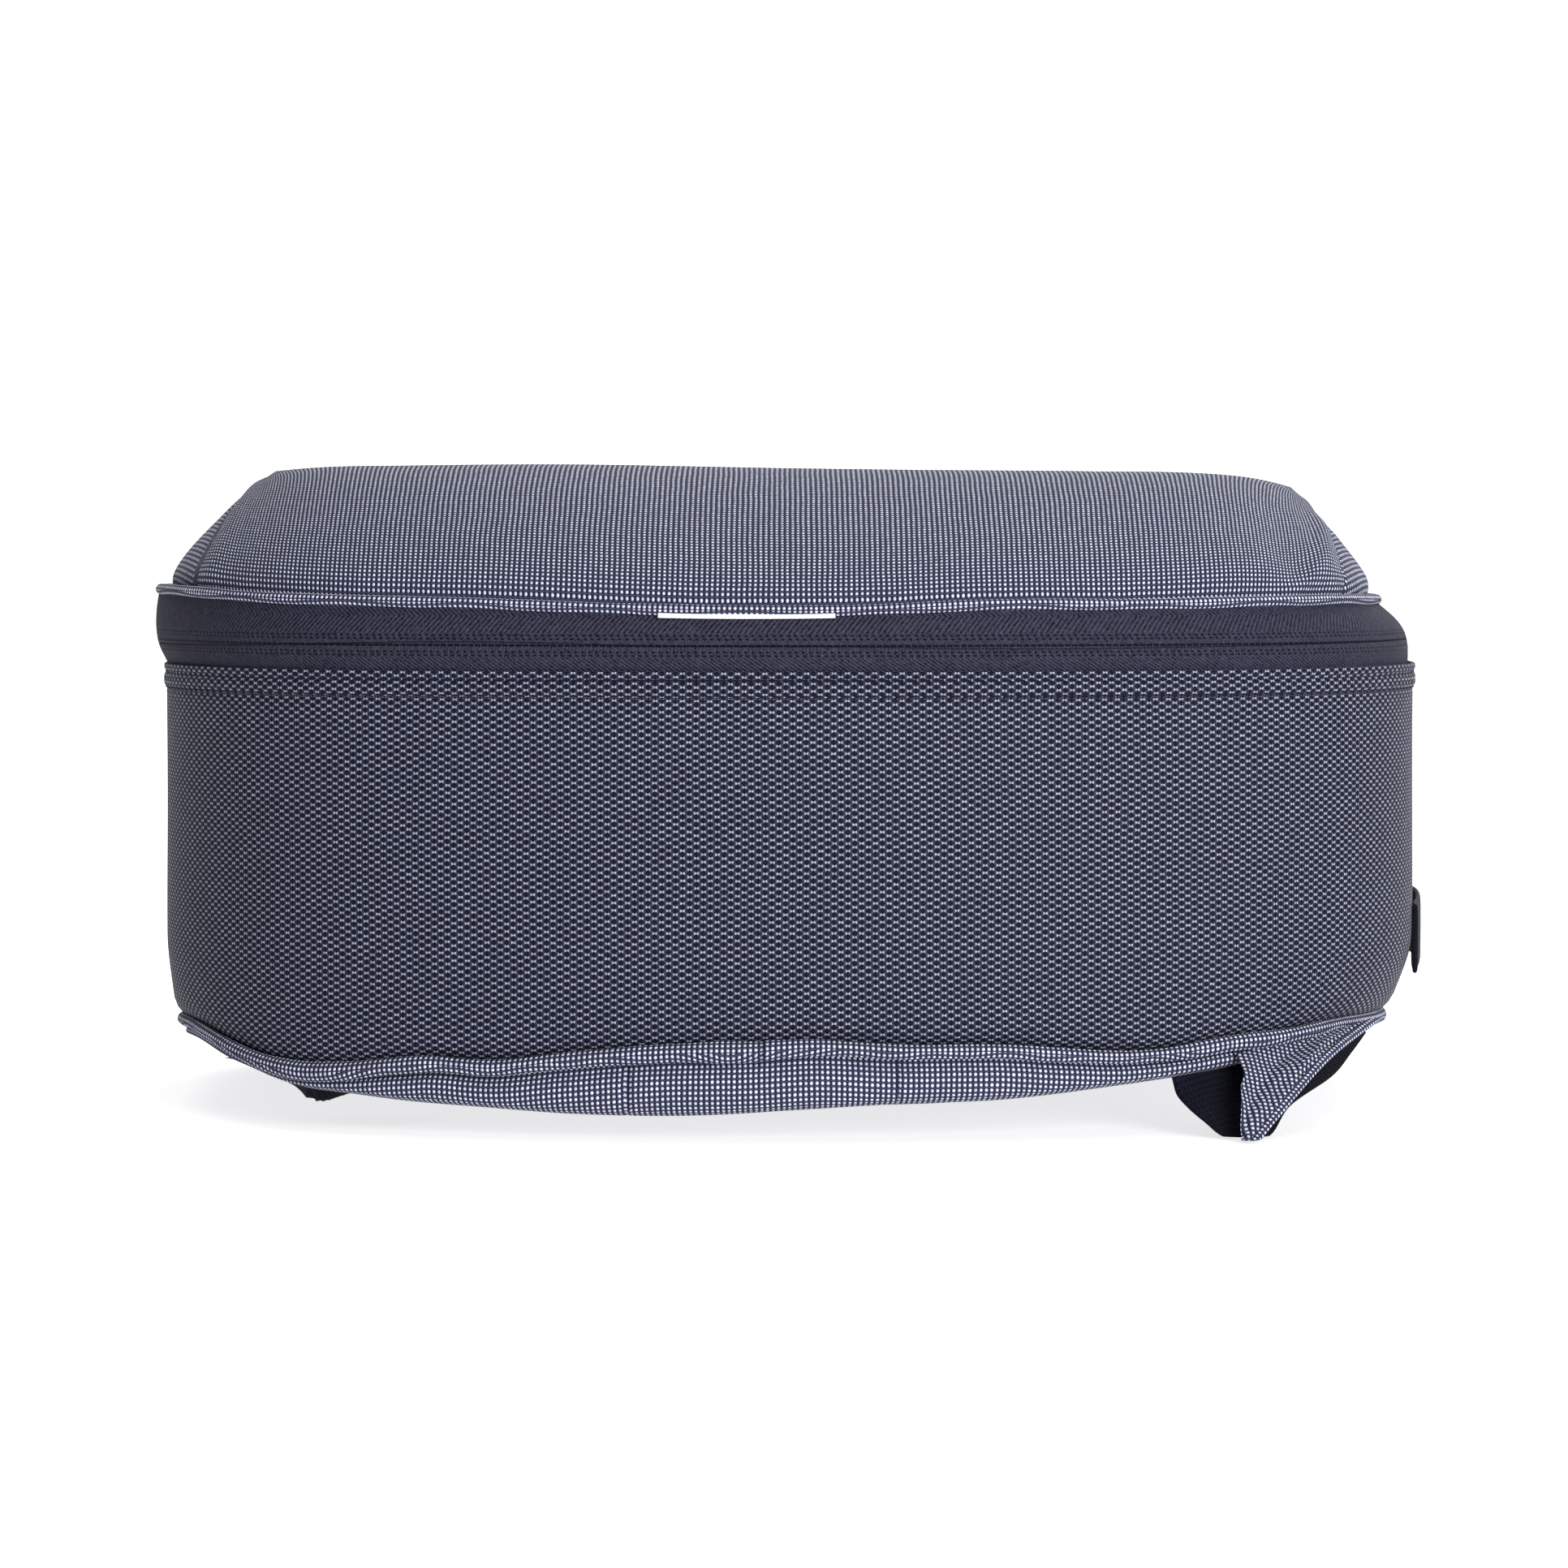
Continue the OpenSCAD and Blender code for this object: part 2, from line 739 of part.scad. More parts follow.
grip_from = [front_wall_x + move_gap, handle_front_y];
grip_to = [rear_wall_x + move_gap, handle_rear_y];
grip_chord = norm(grip_to - grip_from);
grip_r = (pow(grip_chord / 2, 2) + pow(grip_bow, 2)) / (2 * grip_bow);
grip_half = asin(grip_chord / 2 / grip_r);
grip_tilt = atan2(grip_from[0] - grip_to[0], grip_to[1] - grip_from[1]);
grip_centre = (grip_from + grip_to) / 2 - (grip_r - grip_bow) * [cos(grip_tilt), sin(grip_tilt)];

module handle_grip() {
    color(black)
        arc_band(grip_centre, grip_r, grip_r + webbing_t, grip_tilt - grip_half, 2 * grip_half,
            handle_low, handle_high);
}

// Strap anchors: a folded triangle of the base's fabric with webbing behind it, sewn on at a front corner

right_axis_out = 4.2;
right_axis_z = 17;
right_fold = 49;
left_axis_out = 3;
left_axis_z = 6.5;
left_fold = 170;
anchor_half_gap = 0.1;
wing_t = 1.2;

// Places a shape drawn with its seam along X and its reach along -Y on the seam of the right anchor
module on_corner(out, z, fold) {
    r = corner_r + out;
    translate([corner_cx + r * sin(anchor_turn), corner_cy - r * cos(anchor_turn), z])
        rotate([0, 0, anchor_turn])
            rotate([fold, 0, 0])
                children();
}

// The triangle, from the seam to its tip; a narrow root reaches back to the piping
module wing() {
    half = anchor_l / 2;
    tip_x = -half - 12;
    color(grey) translate([0, 0, anchor_half_gap])
        linear_extrude(height = wing_t)
            polygon([[-half, 2.2], [half, 2.2], [half, -1.5], [tip_x + 3, -anchor_reach], [tip_x, -anchor_reach + 1]]);
}

// The webbing behind the triangle, doubled back round a rounded edge
module webbing() {
    half = anchor_l / 2;
    tip_x = -half - 12;
    round_r = anchor_reach / 2;
    back = arc_points([-half - 10, -round_r], round_r, 90, 180, 12, 0, 12);
    color(black) translate([0, 0, -anchor_half_gap - webbing_t])
        linear_extrude(height = webbing_t)
            polygon(concat([[half - 2, 0]], back, [[half - 2, -1.5]]));
}

module wing_right() {
    on_corner(right_axis_out, right_axis_z, right_fold) wing();
}

module webbing_right() {
    on_corner(right_axis_out, right_axis_z, right_fold) webbing();
}

module wing_left() {
    mirror([1, 0, 0]) on_corner(left_axis_out, left_axis_z, left_fold) wing();
}

module webbing_left() {
    mirror([1, 0, 0]) on_corner(left_axis_out, left_axis_z, left_fold) webbing();
}

base_panel();
base_foam();
base_lining();
base_piping();
base_piping_cord();
wall_front();
wall_back();
wall_foam();
wall_lining();
rim_binding();
seam_binding_left();
seam_binding_right();
zip_tape_lower();
zip_coil_lower();
zip_tape_tail_left();
zip_tape_tail_right();
zip_coil_tail_left();
zip_coil_tail_right();
zip_stop_left();
zip_stop_right();
hinge_strip();
slider_left();
slider_right();
pull_left();
pull_right();
lid_cover();
lid_end_left();
lid_end_right();
lid_foam();
lid_lining();
lid_piping();
lid_binding();
zip_tape_upper();
zip_coil_upper();
label_blank();
handle_patch_front();
handle_patch_rear();
handle_grip();
wing_left();
webbing_left();
wing_right();
webbing_right();
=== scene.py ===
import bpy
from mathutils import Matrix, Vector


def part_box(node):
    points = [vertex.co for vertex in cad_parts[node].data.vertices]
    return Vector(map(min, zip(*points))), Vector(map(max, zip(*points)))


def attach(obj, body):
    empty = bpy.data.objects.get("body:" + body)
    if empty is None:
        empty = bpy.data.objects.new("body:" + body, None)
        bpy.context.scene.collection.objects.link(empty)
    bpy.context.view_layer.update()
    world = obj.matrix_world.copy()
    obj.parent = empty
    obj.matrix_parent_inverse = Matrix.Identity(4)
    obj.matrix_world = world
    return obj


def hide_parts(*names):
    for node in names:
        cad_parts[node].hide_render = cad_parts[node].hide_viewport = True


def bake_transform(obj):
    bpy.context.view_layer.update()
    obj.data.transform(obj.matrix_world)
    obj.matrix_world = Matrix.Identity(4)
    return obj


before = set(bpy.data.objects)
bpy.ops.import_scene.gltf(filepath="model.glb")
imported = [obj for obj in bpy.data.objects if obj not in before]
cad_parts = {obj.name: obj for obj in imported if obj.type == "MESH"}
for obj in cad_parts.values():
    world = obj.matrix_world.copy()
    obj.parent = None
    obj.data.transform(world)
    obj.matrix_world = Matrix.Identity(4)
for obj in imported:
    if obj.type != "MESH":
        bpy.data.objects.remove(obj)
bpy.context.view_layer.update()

import math

import bmesh
import bpy
import numpy as np
from mathutils import Vector

bl_info = {
    "name": "Packing cube",
    "version": (1, 0, 0),
    "blender": (4, 5, 0),
    "location": "View3D > Sidebar > Packing cube",
    "description": "Sews the cloth, zip and straps of a soft packing cube over its packed frame",
    "category": "Object",
}

MM = 0.001


def node_box(node):
    """Lowest and highest corner of a node of the frame, in millimetres."""
    low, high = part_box(node)
    return np.array(low) / MM, np.array(high) / MM


# Levels and distances taken from the frame, in millimetres
HEM_T = 0.6
HALF_W = node_box("wall_front")[1][0] - HEM_T
BACK_Y = node_box("wall_back")[1][1] - HEM_T
WALL_TOP = node_box("wall_front")[1][2]
TAPE_LOW, HINGE_TOP = node_box("zip_tape_lower")[0][2], node_box("hinge_strip")[1][2]
ZIP_Z = (node_box("zip_tape_lower")[1][2] + node_box("zip_tape_upper")[0][2]) / 2
SEAM_Z = node_box("lid_piping")[0][2]
DOME_Z, CROWN_Z = node_box("lid_cover")[0][2], node_box("lid_cover")[1][2]
PIPING_Z = (node_box("base_piping")[0][2] + node_box("base_piping")[1][2]) / 2
BASE_TOP = node_box("base_panel")[1][2]
RIM_Z = node_box("rim_binding")[1][2]
STOP_X = node_box("zip_stop_right")[0][0]
TAIL_X = node_box("zip_tape_tail_right")[1][0]

# Plan of the body: straight ends and back, a bowed front, two sizes of corner
CORNER_R, REAR_R, FRONT_R = 85.0, 70.0, 300.0
CORNER_CX, REAR_CX, REAR_CY = HALF_W - CORNER_R, HALF_W - REAR_R, BACK_Y - REAR_R
FRONT_CY = FRONT_R - 110.0
CORNER_CY = FRONT_CY - math.sqrt((FRONT_R - CORNER_R) ** 2 - CORNER_CX**2)
FRONT_TURN = math.degrees(math.asin(CORNER_CX / (FRONT_R - CORNER_R)))

# How far out the tape, the lid and the lining lie; the tape's thickness and the coil's pitch; where the wall's hem
# begins and how far above that its two rows of stitches run
TAPE_OUT, LID_OUT, LINING_OUT = -1.4, -2.9, -7.2
TAPE_T, COIL_PITCH = 0.6, 1.64
HEM_LOW, HEM_ROWS = WALL_TOP - 5.6, (0.25, 3.9)
STITCH_LONG, STITCH_THICK = 2.4, 0.26


def ease(x):
    """Nought below 0, one above 1 and 3x^2 - 2x^3 between."""
    x = np.clip(x, 0.0, 1.0)
    return x * x * (3 - 2 * x)


def bell(x, centre, width):
    """exp(-((x - centre) / width)^2)"""
    return np.exp(-(((x - centre) / width) ** 2))


def run_along(path):
    """Length walked along a line of points, from its first one."""
    return np.concatenate([[0], np.cumsum(np.linalg.norm(np.diff(path, axis=0), axis=1))])


def run_across(points):
    """Length walked down each column of a grid of points, from its first row."""
    steps = np.linalg.norm(np.diff(points, axis=0), axis=2)
    return np.concatenate([np.zeros((1, points.shape[1])), np.cumsum(steps, 0)])


def unit(vectors):
    """Vectors divided by their lengths."""
    return vectors / np.maximum(np.linalg.norm(vectors, axis=-1, keepdims=True), 1e-9)


def turn_steps(steps):
    """Angles of that many points right round a circle."""
    return np.arange(steps) / steps * 2 * np.pi


def lifted(points, height=0.0):
    """Points raised to at least that height over the floor."""
    return np.maximum(points, [-np.inf, -np.inf, height])


def outline_table():
    """Points and outward normals of the plan, walked anticlockwise from the middle of the back past the left
    end: each straight run is a line between its ends, each arc is centre + r (cos a, sin a)."""
    points, normals = [], []

    def run(start, end, normal):
        t = np.linspace(0, 1, 120)[:, None]
        points.append(np.array(start) + t * (np.array(end) - np.array(start)))
        normals.append(np.tile(normal, (120, 1)))

    def arc(centre, radius, first, last):
        a = np.radians(np.linspace(first, last, 260))
        ray = np.stack([np.cos(a), np.sin(a)], -1)
        points.append(np.array(centre) + radius * ray)
        normals.append(ray)

    run((0, BACK_Y), (-REAR_CX, BACK_Y), (0, 1))
    arc((-REAR_CX, REAR_CY), REAR_R, 90, 180)
    run((-HALF_W, REAR_CY), (-HALF_W, CORNER_CY), (-1, 0))
    arc((-CORNER_CX, CORNER_CY), CORNER_R, 180, 270 - FRONT_TURN)
    arc((0, FRONT_CY), FRONT_R, 270 - FRONT_TURN, 270 + FRONT_TURN)
    arc((CORNER_CX, CORNER_CY), CORNER_R, 270 + FRONT_TURN, 360)
    run((HALF_W, CORNER_CY), (HALF_W, REAR_CY), (1, 0))
    arc((REAR_CX, REAR_CY), REAR_R, 0, 90)
    run((REAR_CX, BACK_Y), (0, BACK_Y), (0, 1))
    points, normals = np.concatenate(points), np.concatenate(normals)
    return run_along(points), np.concatenate([points, normals], 1).T


OUTLINE_S, OUTLINE = outline_table()
LENGTH = float(OUTLINE_S[-1])
FRONT_S = LENGTH / 2
END_S = REAR_CX + REAR_R * math.pi / 2 + (REAR_CY - CORNER_CY) / 2


def plan(s, out):
    """Point of the outline at the run s, moved out along its normal by out."""
    s = np.mod(s, LENGTH)
    x, y, nx, ny = (np.interp(s, OUTLINE_S, column) for column in OUTLINE)
    return x + nx * out, y + ny * out


def ahead(s):
    """Signed run from the middle of the front, positive towards the right end."""
    return np.mod(s, LENGTH) - FRONT_S


def through(at, *knots):
    """Smooth curve through knots (place, value), level beyond the outer ones: between two knots a cubic whose
    slopes at them are those of the chords to their neighbours."""
    x, y = np.array(knots, float).T
    slope = np.gradient(y, x)
    slope[0] = slope[-1] = 0
    at = np.clip(at, x[0], x[-1])
    i = np.clip(np.searchsorted(x, at, side="right") - 1, 0, len(x) - 2)
    h = x[i + 1] - x[i]
    t = (at - x[i]) / h
    return ((2 * t**3 - 3 * t**2 + 1) * y[i] + (t**3 - 2 * t**2 + t) * h * slope[i]
            + (3 * t**2 - 2 * t**3) * y[i + 1] + (t**3 - t**2) * h * slope[i + 1])


def frontal(s):
    """One round the front and the ends, nought along the back where the hinge and the sliders are."""
    return 1 - ease((np.abs(ahead(s)) - 235) / 80)


def lid_place(x, z):
    """Where a point above the wall really lies: the lid is a little narrower and sits a little to the left."""
    return x + (look().lid_shift / MM - 0.02 * x) * ease((z - 104) / 19)


def zip_wave(s):
    """How far the zip's line wanders up and down along the front."""
    return through(ahead(s), (-330, 0), (-200, -1.1), (-133, -0.4), (-78, 0.8), (-51, 0.6), (-32, 0), (0, 0),
                   (61, -0.8), (101, -0.5), (155, -0.1), (330, 0))


def seam_wave(s):
    """How far the lid's seam sags between its ends."""
    return through(ahead(s), (-330, 0), (-203, 1.3), (-149, 1.1), (-121, 0.0), (-86, -0.7), (-74, -0.75),
                   (-50, -1.5), (-28, -2.3), (15, -2.4), (29, -2.0), (50, -1.35), (83, -1.25), (108, -0.85),
                   (150, -0.7), (217, -1.2), (330, 0))


def sag(s, z):
    """Height after the waves of the zip and of the seam: each wave is full at its own line and nought at the
    wall's hem and at the crown."""
    at_seam = np.clip((z - ZIP_Z) / (SEAM_Z - ZIP_Z), 0, 1)
    at_zip = np.clip(np.minimum((z - WALL_TOP) / (ZIP_Z - WALL_TOP), (SEAM_Z - z) / (SEAM_Z - ZIP_Z)), 0, 1)
    return z + zip_wave(s) * at_zip + seam_wave(s) * at_seam


def piping_rise(s):
    """How far the base piping's middle wanders up and down."""
    return through(ahead(s), (-330, 0), (-206, -0.1), (-160, 0.1), (-149, -1.6), (-141, -3.2), (-128, -5.5),
                   (-115, -6.4), (-106, -5.9), (-93, -4.3), (-85, -3.5), (-68, -3.9), (-52, -2.0), (-39, -0.75),
                   (-27, 0.1), (-7, 0.6), (5, 1.3), (24, 0.5), (50, 0.2), (65, -1.0), (78, -1.7), (92, -1.0),
                   (104, 0.5), (118, 1.2), (136, 2.4), (160, 2.3), (206, 1.1), (330, 0))


def piping_radius(s):
    """Half the thickness of the base piping, with the step where its two ends overlap."""
    a = ahead(s)
    return (through(a, (-330, 2.1), (-206, 1.5), (-158, 1.5), (-141, 1.75), (-125, 2.2), (-115, 2.45), (-100, 2.1),
                    (-85, 1.95), (-52, 1.95), (-30, 2.2), (-10, 2.5), (3, 1.95), (30, 1.75), (65, 1.65), (84, 1.5),
                    (94, 1.85), (134, 1.8), (206, 1.75), (330, 2.1))
            + 0.35 * bell(a, -13, 8) * (a < -5.5) - 0.05 * np.sin(s / 2.9))


def piping_foot(s):
    """How far the base piping is drawn in under the two ends."""
    return through(ahead(s), (-320, 0), (-228, -3.6), (-170, -3.6), (-140, -1.6), (-110, 0), (95, 0), (125, -2.0),
                   (150, -6.0), (170, -7.4), (235, -7.4), (320, 0))


def wall_foot(s):
    """How far the wall's foot is drawn in at the two ends."""
    return through(ahead(s), (-320, 0), (-228, -1.8), (-165, -1.8), (-115, 0), (95, 0), (125, -1.6), (150, -4.4),
                   (170, -5.6), (235, -5.6), (320, 0))


def base_lift(s):
    """How far the base's lower edge curls up towards its corners and ends."""
    return through(ahead(s), (-330, 0), (-206, 9.8), (-160, 10.7), (-146, 8.5), (-136, 7.1), (-123, 4.4), (-105, 3.2),
                   (-90, 2.1), (-74, 1.4), (-50, 0.3), (-20, 0.4), (0, 1.6), (24, 2.9), (50, 3.6), (77, 6.1),
                   (92, 7.7), (102, 8.9), (120, 11.6), (160, 14.5), (206, 12), (330, 0))


def ripple(s, z, size=1.0):
    """Slow unevenness of stuffed cloth: three sine waves across each other."""
    return size * (0.20 * np.sin(s / 21.3 + z / 19.0) + 0.12 * np.sin(s / 12.1 - z / 23.0 + 1.0)
                   + 0.08 * np.sin(s / 33.0 + z / 9.5 + 2.0))


# Sizes and colours


def length(name, description, default, **more):
    """A length property in metres."""
    return bpy.props.FloatProperty(name=name, description=description, default=default, unit="LENGTH",
                                   subtype="DISTANCE", precision=5, **more)


def colour(name, description, default):
    """A colour property."""
    return bpy.props.FloatVectorProperty(name=name, description=description, default=default, size=3,
                                         subtype="COLOR", min=0.0, max=1.0)


class CubeLook(bpy.types.PropertyGroup):
    """Sizes and colours of the cloth."""

    weave_pitch: length("Weave pitch", "Distance between two pads of the two-tone cloth", 0.00125, min=0.0002)
    wall_pitch: length("Wall weave pitch", "Distance between two floats of the wall cloth", 0.00313, min=0.0005)
    stitch_pitch: length("Stitch length", "Distance between two stitches of the hems", 0.0031, min=0.0005)
    lid_shift: length("Lid shift", "How far the lid sits towards the right end", -0.0049)
    lid_belly: length("Lid belly", "How far the lid's front hangs over its seam", 0.0015)
    zip_bulge: length("Zip bulge", "How far the zip band bows out", 0.0019)
    wall_bulge: length("Wall bulge", "How far the stuffed wall stands proud", 0.0006)
    pad_light: colour("Pad", "Raised pads of the two-tone cloth", (0.58, 0.62, 0.79))
    pad_dark: colour("Ground", "Ground of the two-tone cloth", (0.012, 0.013, 0.036))
    wall_light: colour("Wall glint", "Bright floats of the wall cloth", (0.345, 0.37, 0.46))
    wall_dark: colour("Wall ground", "Dark cells of the wall cloth", (0.0062, 0.0064, 0.0195))
    tape_colour: colour("Zip tape", "Herringbone tape", (0.034, 0.034, 0.058))
    webbing_colour: colour("Webbing", "Straps and anchors", (0.005, 0.005, 0.010))
    lining_colour: colour("Lining", "Cloth inside", (0.10, 0.10, 0.125))
    label_colour: colour("Label", "Blank label", (0.8, 0.8, 0.82))
    metal_colour: colour("Metal", "Sliders and pulls", (0.09, 0.09, 0.10))


def look():
    """The settings on the scene."""
    return bpy.context.scene.cube_look


# Materials


class Wire:
    """A number running through a material, on which sums can be written."""

    def __init__(self, graph, socket):
        self.graph, self.socket = graph, socket

    def __add__(self, other):
        return self.graph.math("ADD", self, other)

    def __sub__(self, other):
        return self.graph.math("SUBTRACT", self, other)

    def __rsub__(self, other):
        return self.graph.math("SUBTRACT", other, self)

    def __mul__(self, other):
        return self.graph.math("MULTIPLY", self, other)

    def __truediv__(self, other):
        return self.graph.math("DIVIDE", self, other)

    def __pow__(self, other):
        return self.graph.math("POWER", self, other)

    def __abs__(self):
        return self.graph.math("ABSOLUTE", self)

    __radd__, __rmul__ = __add__, __mul__

    def fract(self):
        return self.graph.math("FRACT", self)

    def zigzag(self):
        """Nought at each half step, rising evenly to a half at each whole step."""
        return abs(self.fract() - 0.5)

    def floor(self):
        return self.graph.math("FLOOR", self)

    def sine(self):
        return self.graph.math("SINE", self)

    def over(self, other):
        return self.graph.math("MAXIMUM", self, other)

    def under(self, other):
        return self.graph.math("MINIMUM", self, other)

    def step(self, low, high):
        """Smooth step from 0 at low to 1 at high."""
        node = self.graph.node("ShaderNodeMapRange", interpolation_type="SMOOTHSTEP")
        self.graph.plug(self, node.inputs["Value"])
        node.inputs["From Min"].default_value = low
        node.inputs["From Max"].default_value = high
        return Wire(self.graph, node.outputs["Result"])


class Graph:
    """A material with one Principled shader, and short calls for the nodes before it."""

    def __init__(self, name, **sockets):
        self.material = bpy.data.materials.new(name)
        self.material.use_nodes = True
        self.tree = self.material.node_tree
        self.tree.nodes.clear()
        self.shader = self.node("ShaderNodeBsdfPrincipled")
        out = self.node("ShaderNodeOutputMaterial")
        self.tree.links.new(self.shader.outputs[0], out.inputs["Surface"])
        self.shader.inputs["Specular IOR Level"].default_value = 0.04
        for socket, value in sockets.items():
            self.shader.inputs[socket.replace("_", " ")].default_value = value

    def node(self, kind, **settings):
        node = self.tree.nodes.new(kind)
        for setting, value in settings.items():
            setattr(node, setting, value)
        return node

    def plug(self, value, socket):
        if isinstance(value, Wire):
            self.tree.links.new(value.socket, socket)
        else:
            socket.default_value = value

    def math(self, operation, *values):
        node = self.node("ShaderNodeMath", operation=operation)
        for value, socket in zip(values, node.inputs):
            self.plug(value, socket)
        return Wire(self, node.outputs[0])

    def cloth(self):
        """The piece's own cloth coordinates: along and across, in millimetres."""
        split = self.node("ShaderNodeSeparateXYZ")
        self.tree.links.new(self.node("ShaderNodeUVMap", uv_map="cloth").outputs[0], split.inputs[0])
        return Wire(self, split.outputs[0]) * 1000.0, Wire(self, split.outputs[1]) * 1000.0

    def noise(self, scale, detail=2.0):
        """Soft noise about nought, from -0.5 to 0.5, by where a point is on the object."""
        node = self.node("ShaderNodeTexNoise")
        self.tree.links.new(self.node("ShaderNodeTexCoord").outputs["Object"], node.inputs["Vector"])
        node.inputs["Scale"].default_value, node.inputs["Detail"].default_value = scale, detail
        return Wire(self, node.outputs[0]) - 0.5

    def chance(self, a, b):
        """A random share for each whole step of a and b."""
        join = self.node("ShaderNodeCombineXYZ")
        self.plug(a.floor(), join.inputs[0])
        self.plug(b.floor(), join.inputs[1])
        node = self.node("ShaderNodeTexWhiteNoise", noise_dimensions="3D")
        self.tree.links.new(join.outputs[0], node.inputs["Vector"])
        return Wire(self, node.outputs[0])

    def mix(self, share, first, second, how="MIX"):
        """Colour from first to second by share, each a colour or a wire that carries one."""
        node = self.node("ShaderNodeMix", data_type="RGBA", blend_type=how)
        self.plug(share, node.inputs[0])
        for value, socket in ((first, node.inputs[6]), (second, node.inputs[7])):
            self.plug(value if isinstance(value, Wire) else (*value, 1.0), socket)
        return Wire(self, node.outputs[2])

    def shade(self, rgb, share):
        """Colour times share, which makes it lighter or darker."""
        grey = self.node("ShaderNodeCombineColor")
        for socket in grey.inputs[:3]:
            self.plug(share, socket)
        return self.mix(1.0, rgb, Wire(self, grey.outputs[0]), "MULTIPLY")

    def finish(self, rgb, height, depth, roughness):
        """Sets the colour, a bump of that depth in metres and the roughness."""
        self.plug(rgb, self.shader.inputs["Base Color"])
        self.plug(roughness, self.shader.inputs["Roughness"])
        bump = self.node("ShaderNodeBump")
        bump.inputs["Distance"].default_value = depth
        self.plug(height, bump.inputs["Height"])
        self.tree.links.new(bump.outputs[0], self.shader.inputs["Normal"])
        return self.material


def blend_of(first, second, share):
    """Colour that lies by share on the way from the first to the second."""
    return tuple(a + (b - a) * share for a, b in zip(first, second))


def two_tone(name, wide, tall, tone):
    """Square grid of pale rounded pads on a navy ground, with the weft showing between the rows: a pad fills the
    rounded square (x / wide)^2.2 + (y / tall)^2.2 < 1 of each weave pitch."""
    g = Graph(name, Sheen_Weight=0.02, Sheen_Roughness=0.4)
    u, v = g.cloth()
    pitch = look().weave_pitch / MM
    slow, quick = g.noise(45.0), g.noise(420.0, 1.0)
    a = u / pitch + slow * 0.5 + quick * 0.12
    b = v / pitch + g.noise(38.0) * 0.4 + quick * 0.10
    x, y = a.zigzag(), b.zigzag()
    round_ = (x / wide) ** 2.2 + (y / tall) ** 2.2
    pad = 1.0 - round_.step(0.35, 1.9)
    weft = y.step(0.34, 0.48) * (1.0 - x.step(0.36, 0.5) * 0.35)
    ground = g.mix(weft * 0.45, look().pad_dark, blend_of(look().pad_dark, look().pad_light, 0.15))
    faded = blend_of(look().pad_light, (0.60, 0.59, 0.68), 0.7)
    pale = g.shade(g.mix(g.chance(a, b), look().pad_light, faded),
                   (0.80 + g.chance(b, a) * 0.32 + quick * 0.35) * tone)
    height = pad * (1.0 - round_.under(1.0) * 0.5) + weft * 0.25 + g.noise(2600.0, 1.0) * 0.25
    return g.finish(g.mix(pad, ground, pale), height, 0.00022, 0.66 - pad * 0.1)


def base_cloth():
    """Two-tone cloth of the base, its piping and the anchors: full bright pads."""
    return two_tone("base_cloth", 0.27, 0.29, 1.0)


def lid_cloth():
    """Two-tone cloth of the lid, stretched over its padding: smaller, greyer pads with more ground between."""
    return two_tone("lid_cloth", 0.25, 0.27, 0.98)


def wall_cloth():
    """Coarse ballistic cloth: staggered dark floats, each ringed by thin strands that meet its neighbours' in a
    net, with a double glint where two floats of a row meet."""
    g = Graph("wall_cloth", Sheen_Weight=0.02, Sheen_Roughness=0.45)
    u, v = g.cloth()
    pitch = look().wall_pitch / MM
    quick, fine = g.noise(380.0, 1.0), g.noise(2400.0, 1.0)
    a = u / pitch + g.noise(40.0) * 0.25 + quick * 0.05
    b = v / (pitch * 0.546) + g.noise(36.0) * 0.25 + quick * 0.06
    x, y = a.zigzag(), b.zigzag()
    x2, y2 = (a + 0.5).zigzag(), (b + 0.5).zigzag()

    def glint(px, py):
        """Two dots side by side with a narrow waist between them."""
        dots = ((px - 0.105) / 0.080) ** 2.0 + (py / 0.185) ** 2.0
        waist = (px / 0.12) ** 2.0 + (py / 0.085) ** 2.0
        return (1.0 - dots.step(0.2, 1.35)).over((1.0 - waist.step(0.2, 1.2)) * 0.55)

    def ring(px, py):
        """How far out of a float a point lies, one at its rim."""
        return ((((0.5 - px) / 0.37) ** 2.0 + (py / 0.49) ** 2.0)) ** 0.5

    one, two = ring(x, y), ring(x2, y2)
    bright = glint(x, y).over(glint(x2, y2))
    dark = 1.0 - one.under(two).under(1.0)
    strand = (1.0 - abs(one - 0.98).step(0.04, 0.30)).over(1.0 - abs(two - 0.98).step(0.04, 0.30))
    faded = blend_of(look().wall_light, (0.38, 0.39, 0.44), 0.7)
    lit = g.shade(g.mix(g.chance(a, b), look().wall_light, faded),
                  0.66 + g.chance(a * 2.0, b * 2.0) * 0.45 + quick * 0.3)
    net = g.mix(strand * (0.60 + fine * 0.6), g.shade(look().wall_dark, 1.0 + quick * 0.8),
                blend_of(look().wall_dark, look().wall_light, 0.15))
    height = dark * 0.9 + strand * 0.25 + bright * 0.45 + fine * 0.2
    return g.finish(g.mix(bright, net, lit), height, 0.00020, 0.62 - bright * 0.1)


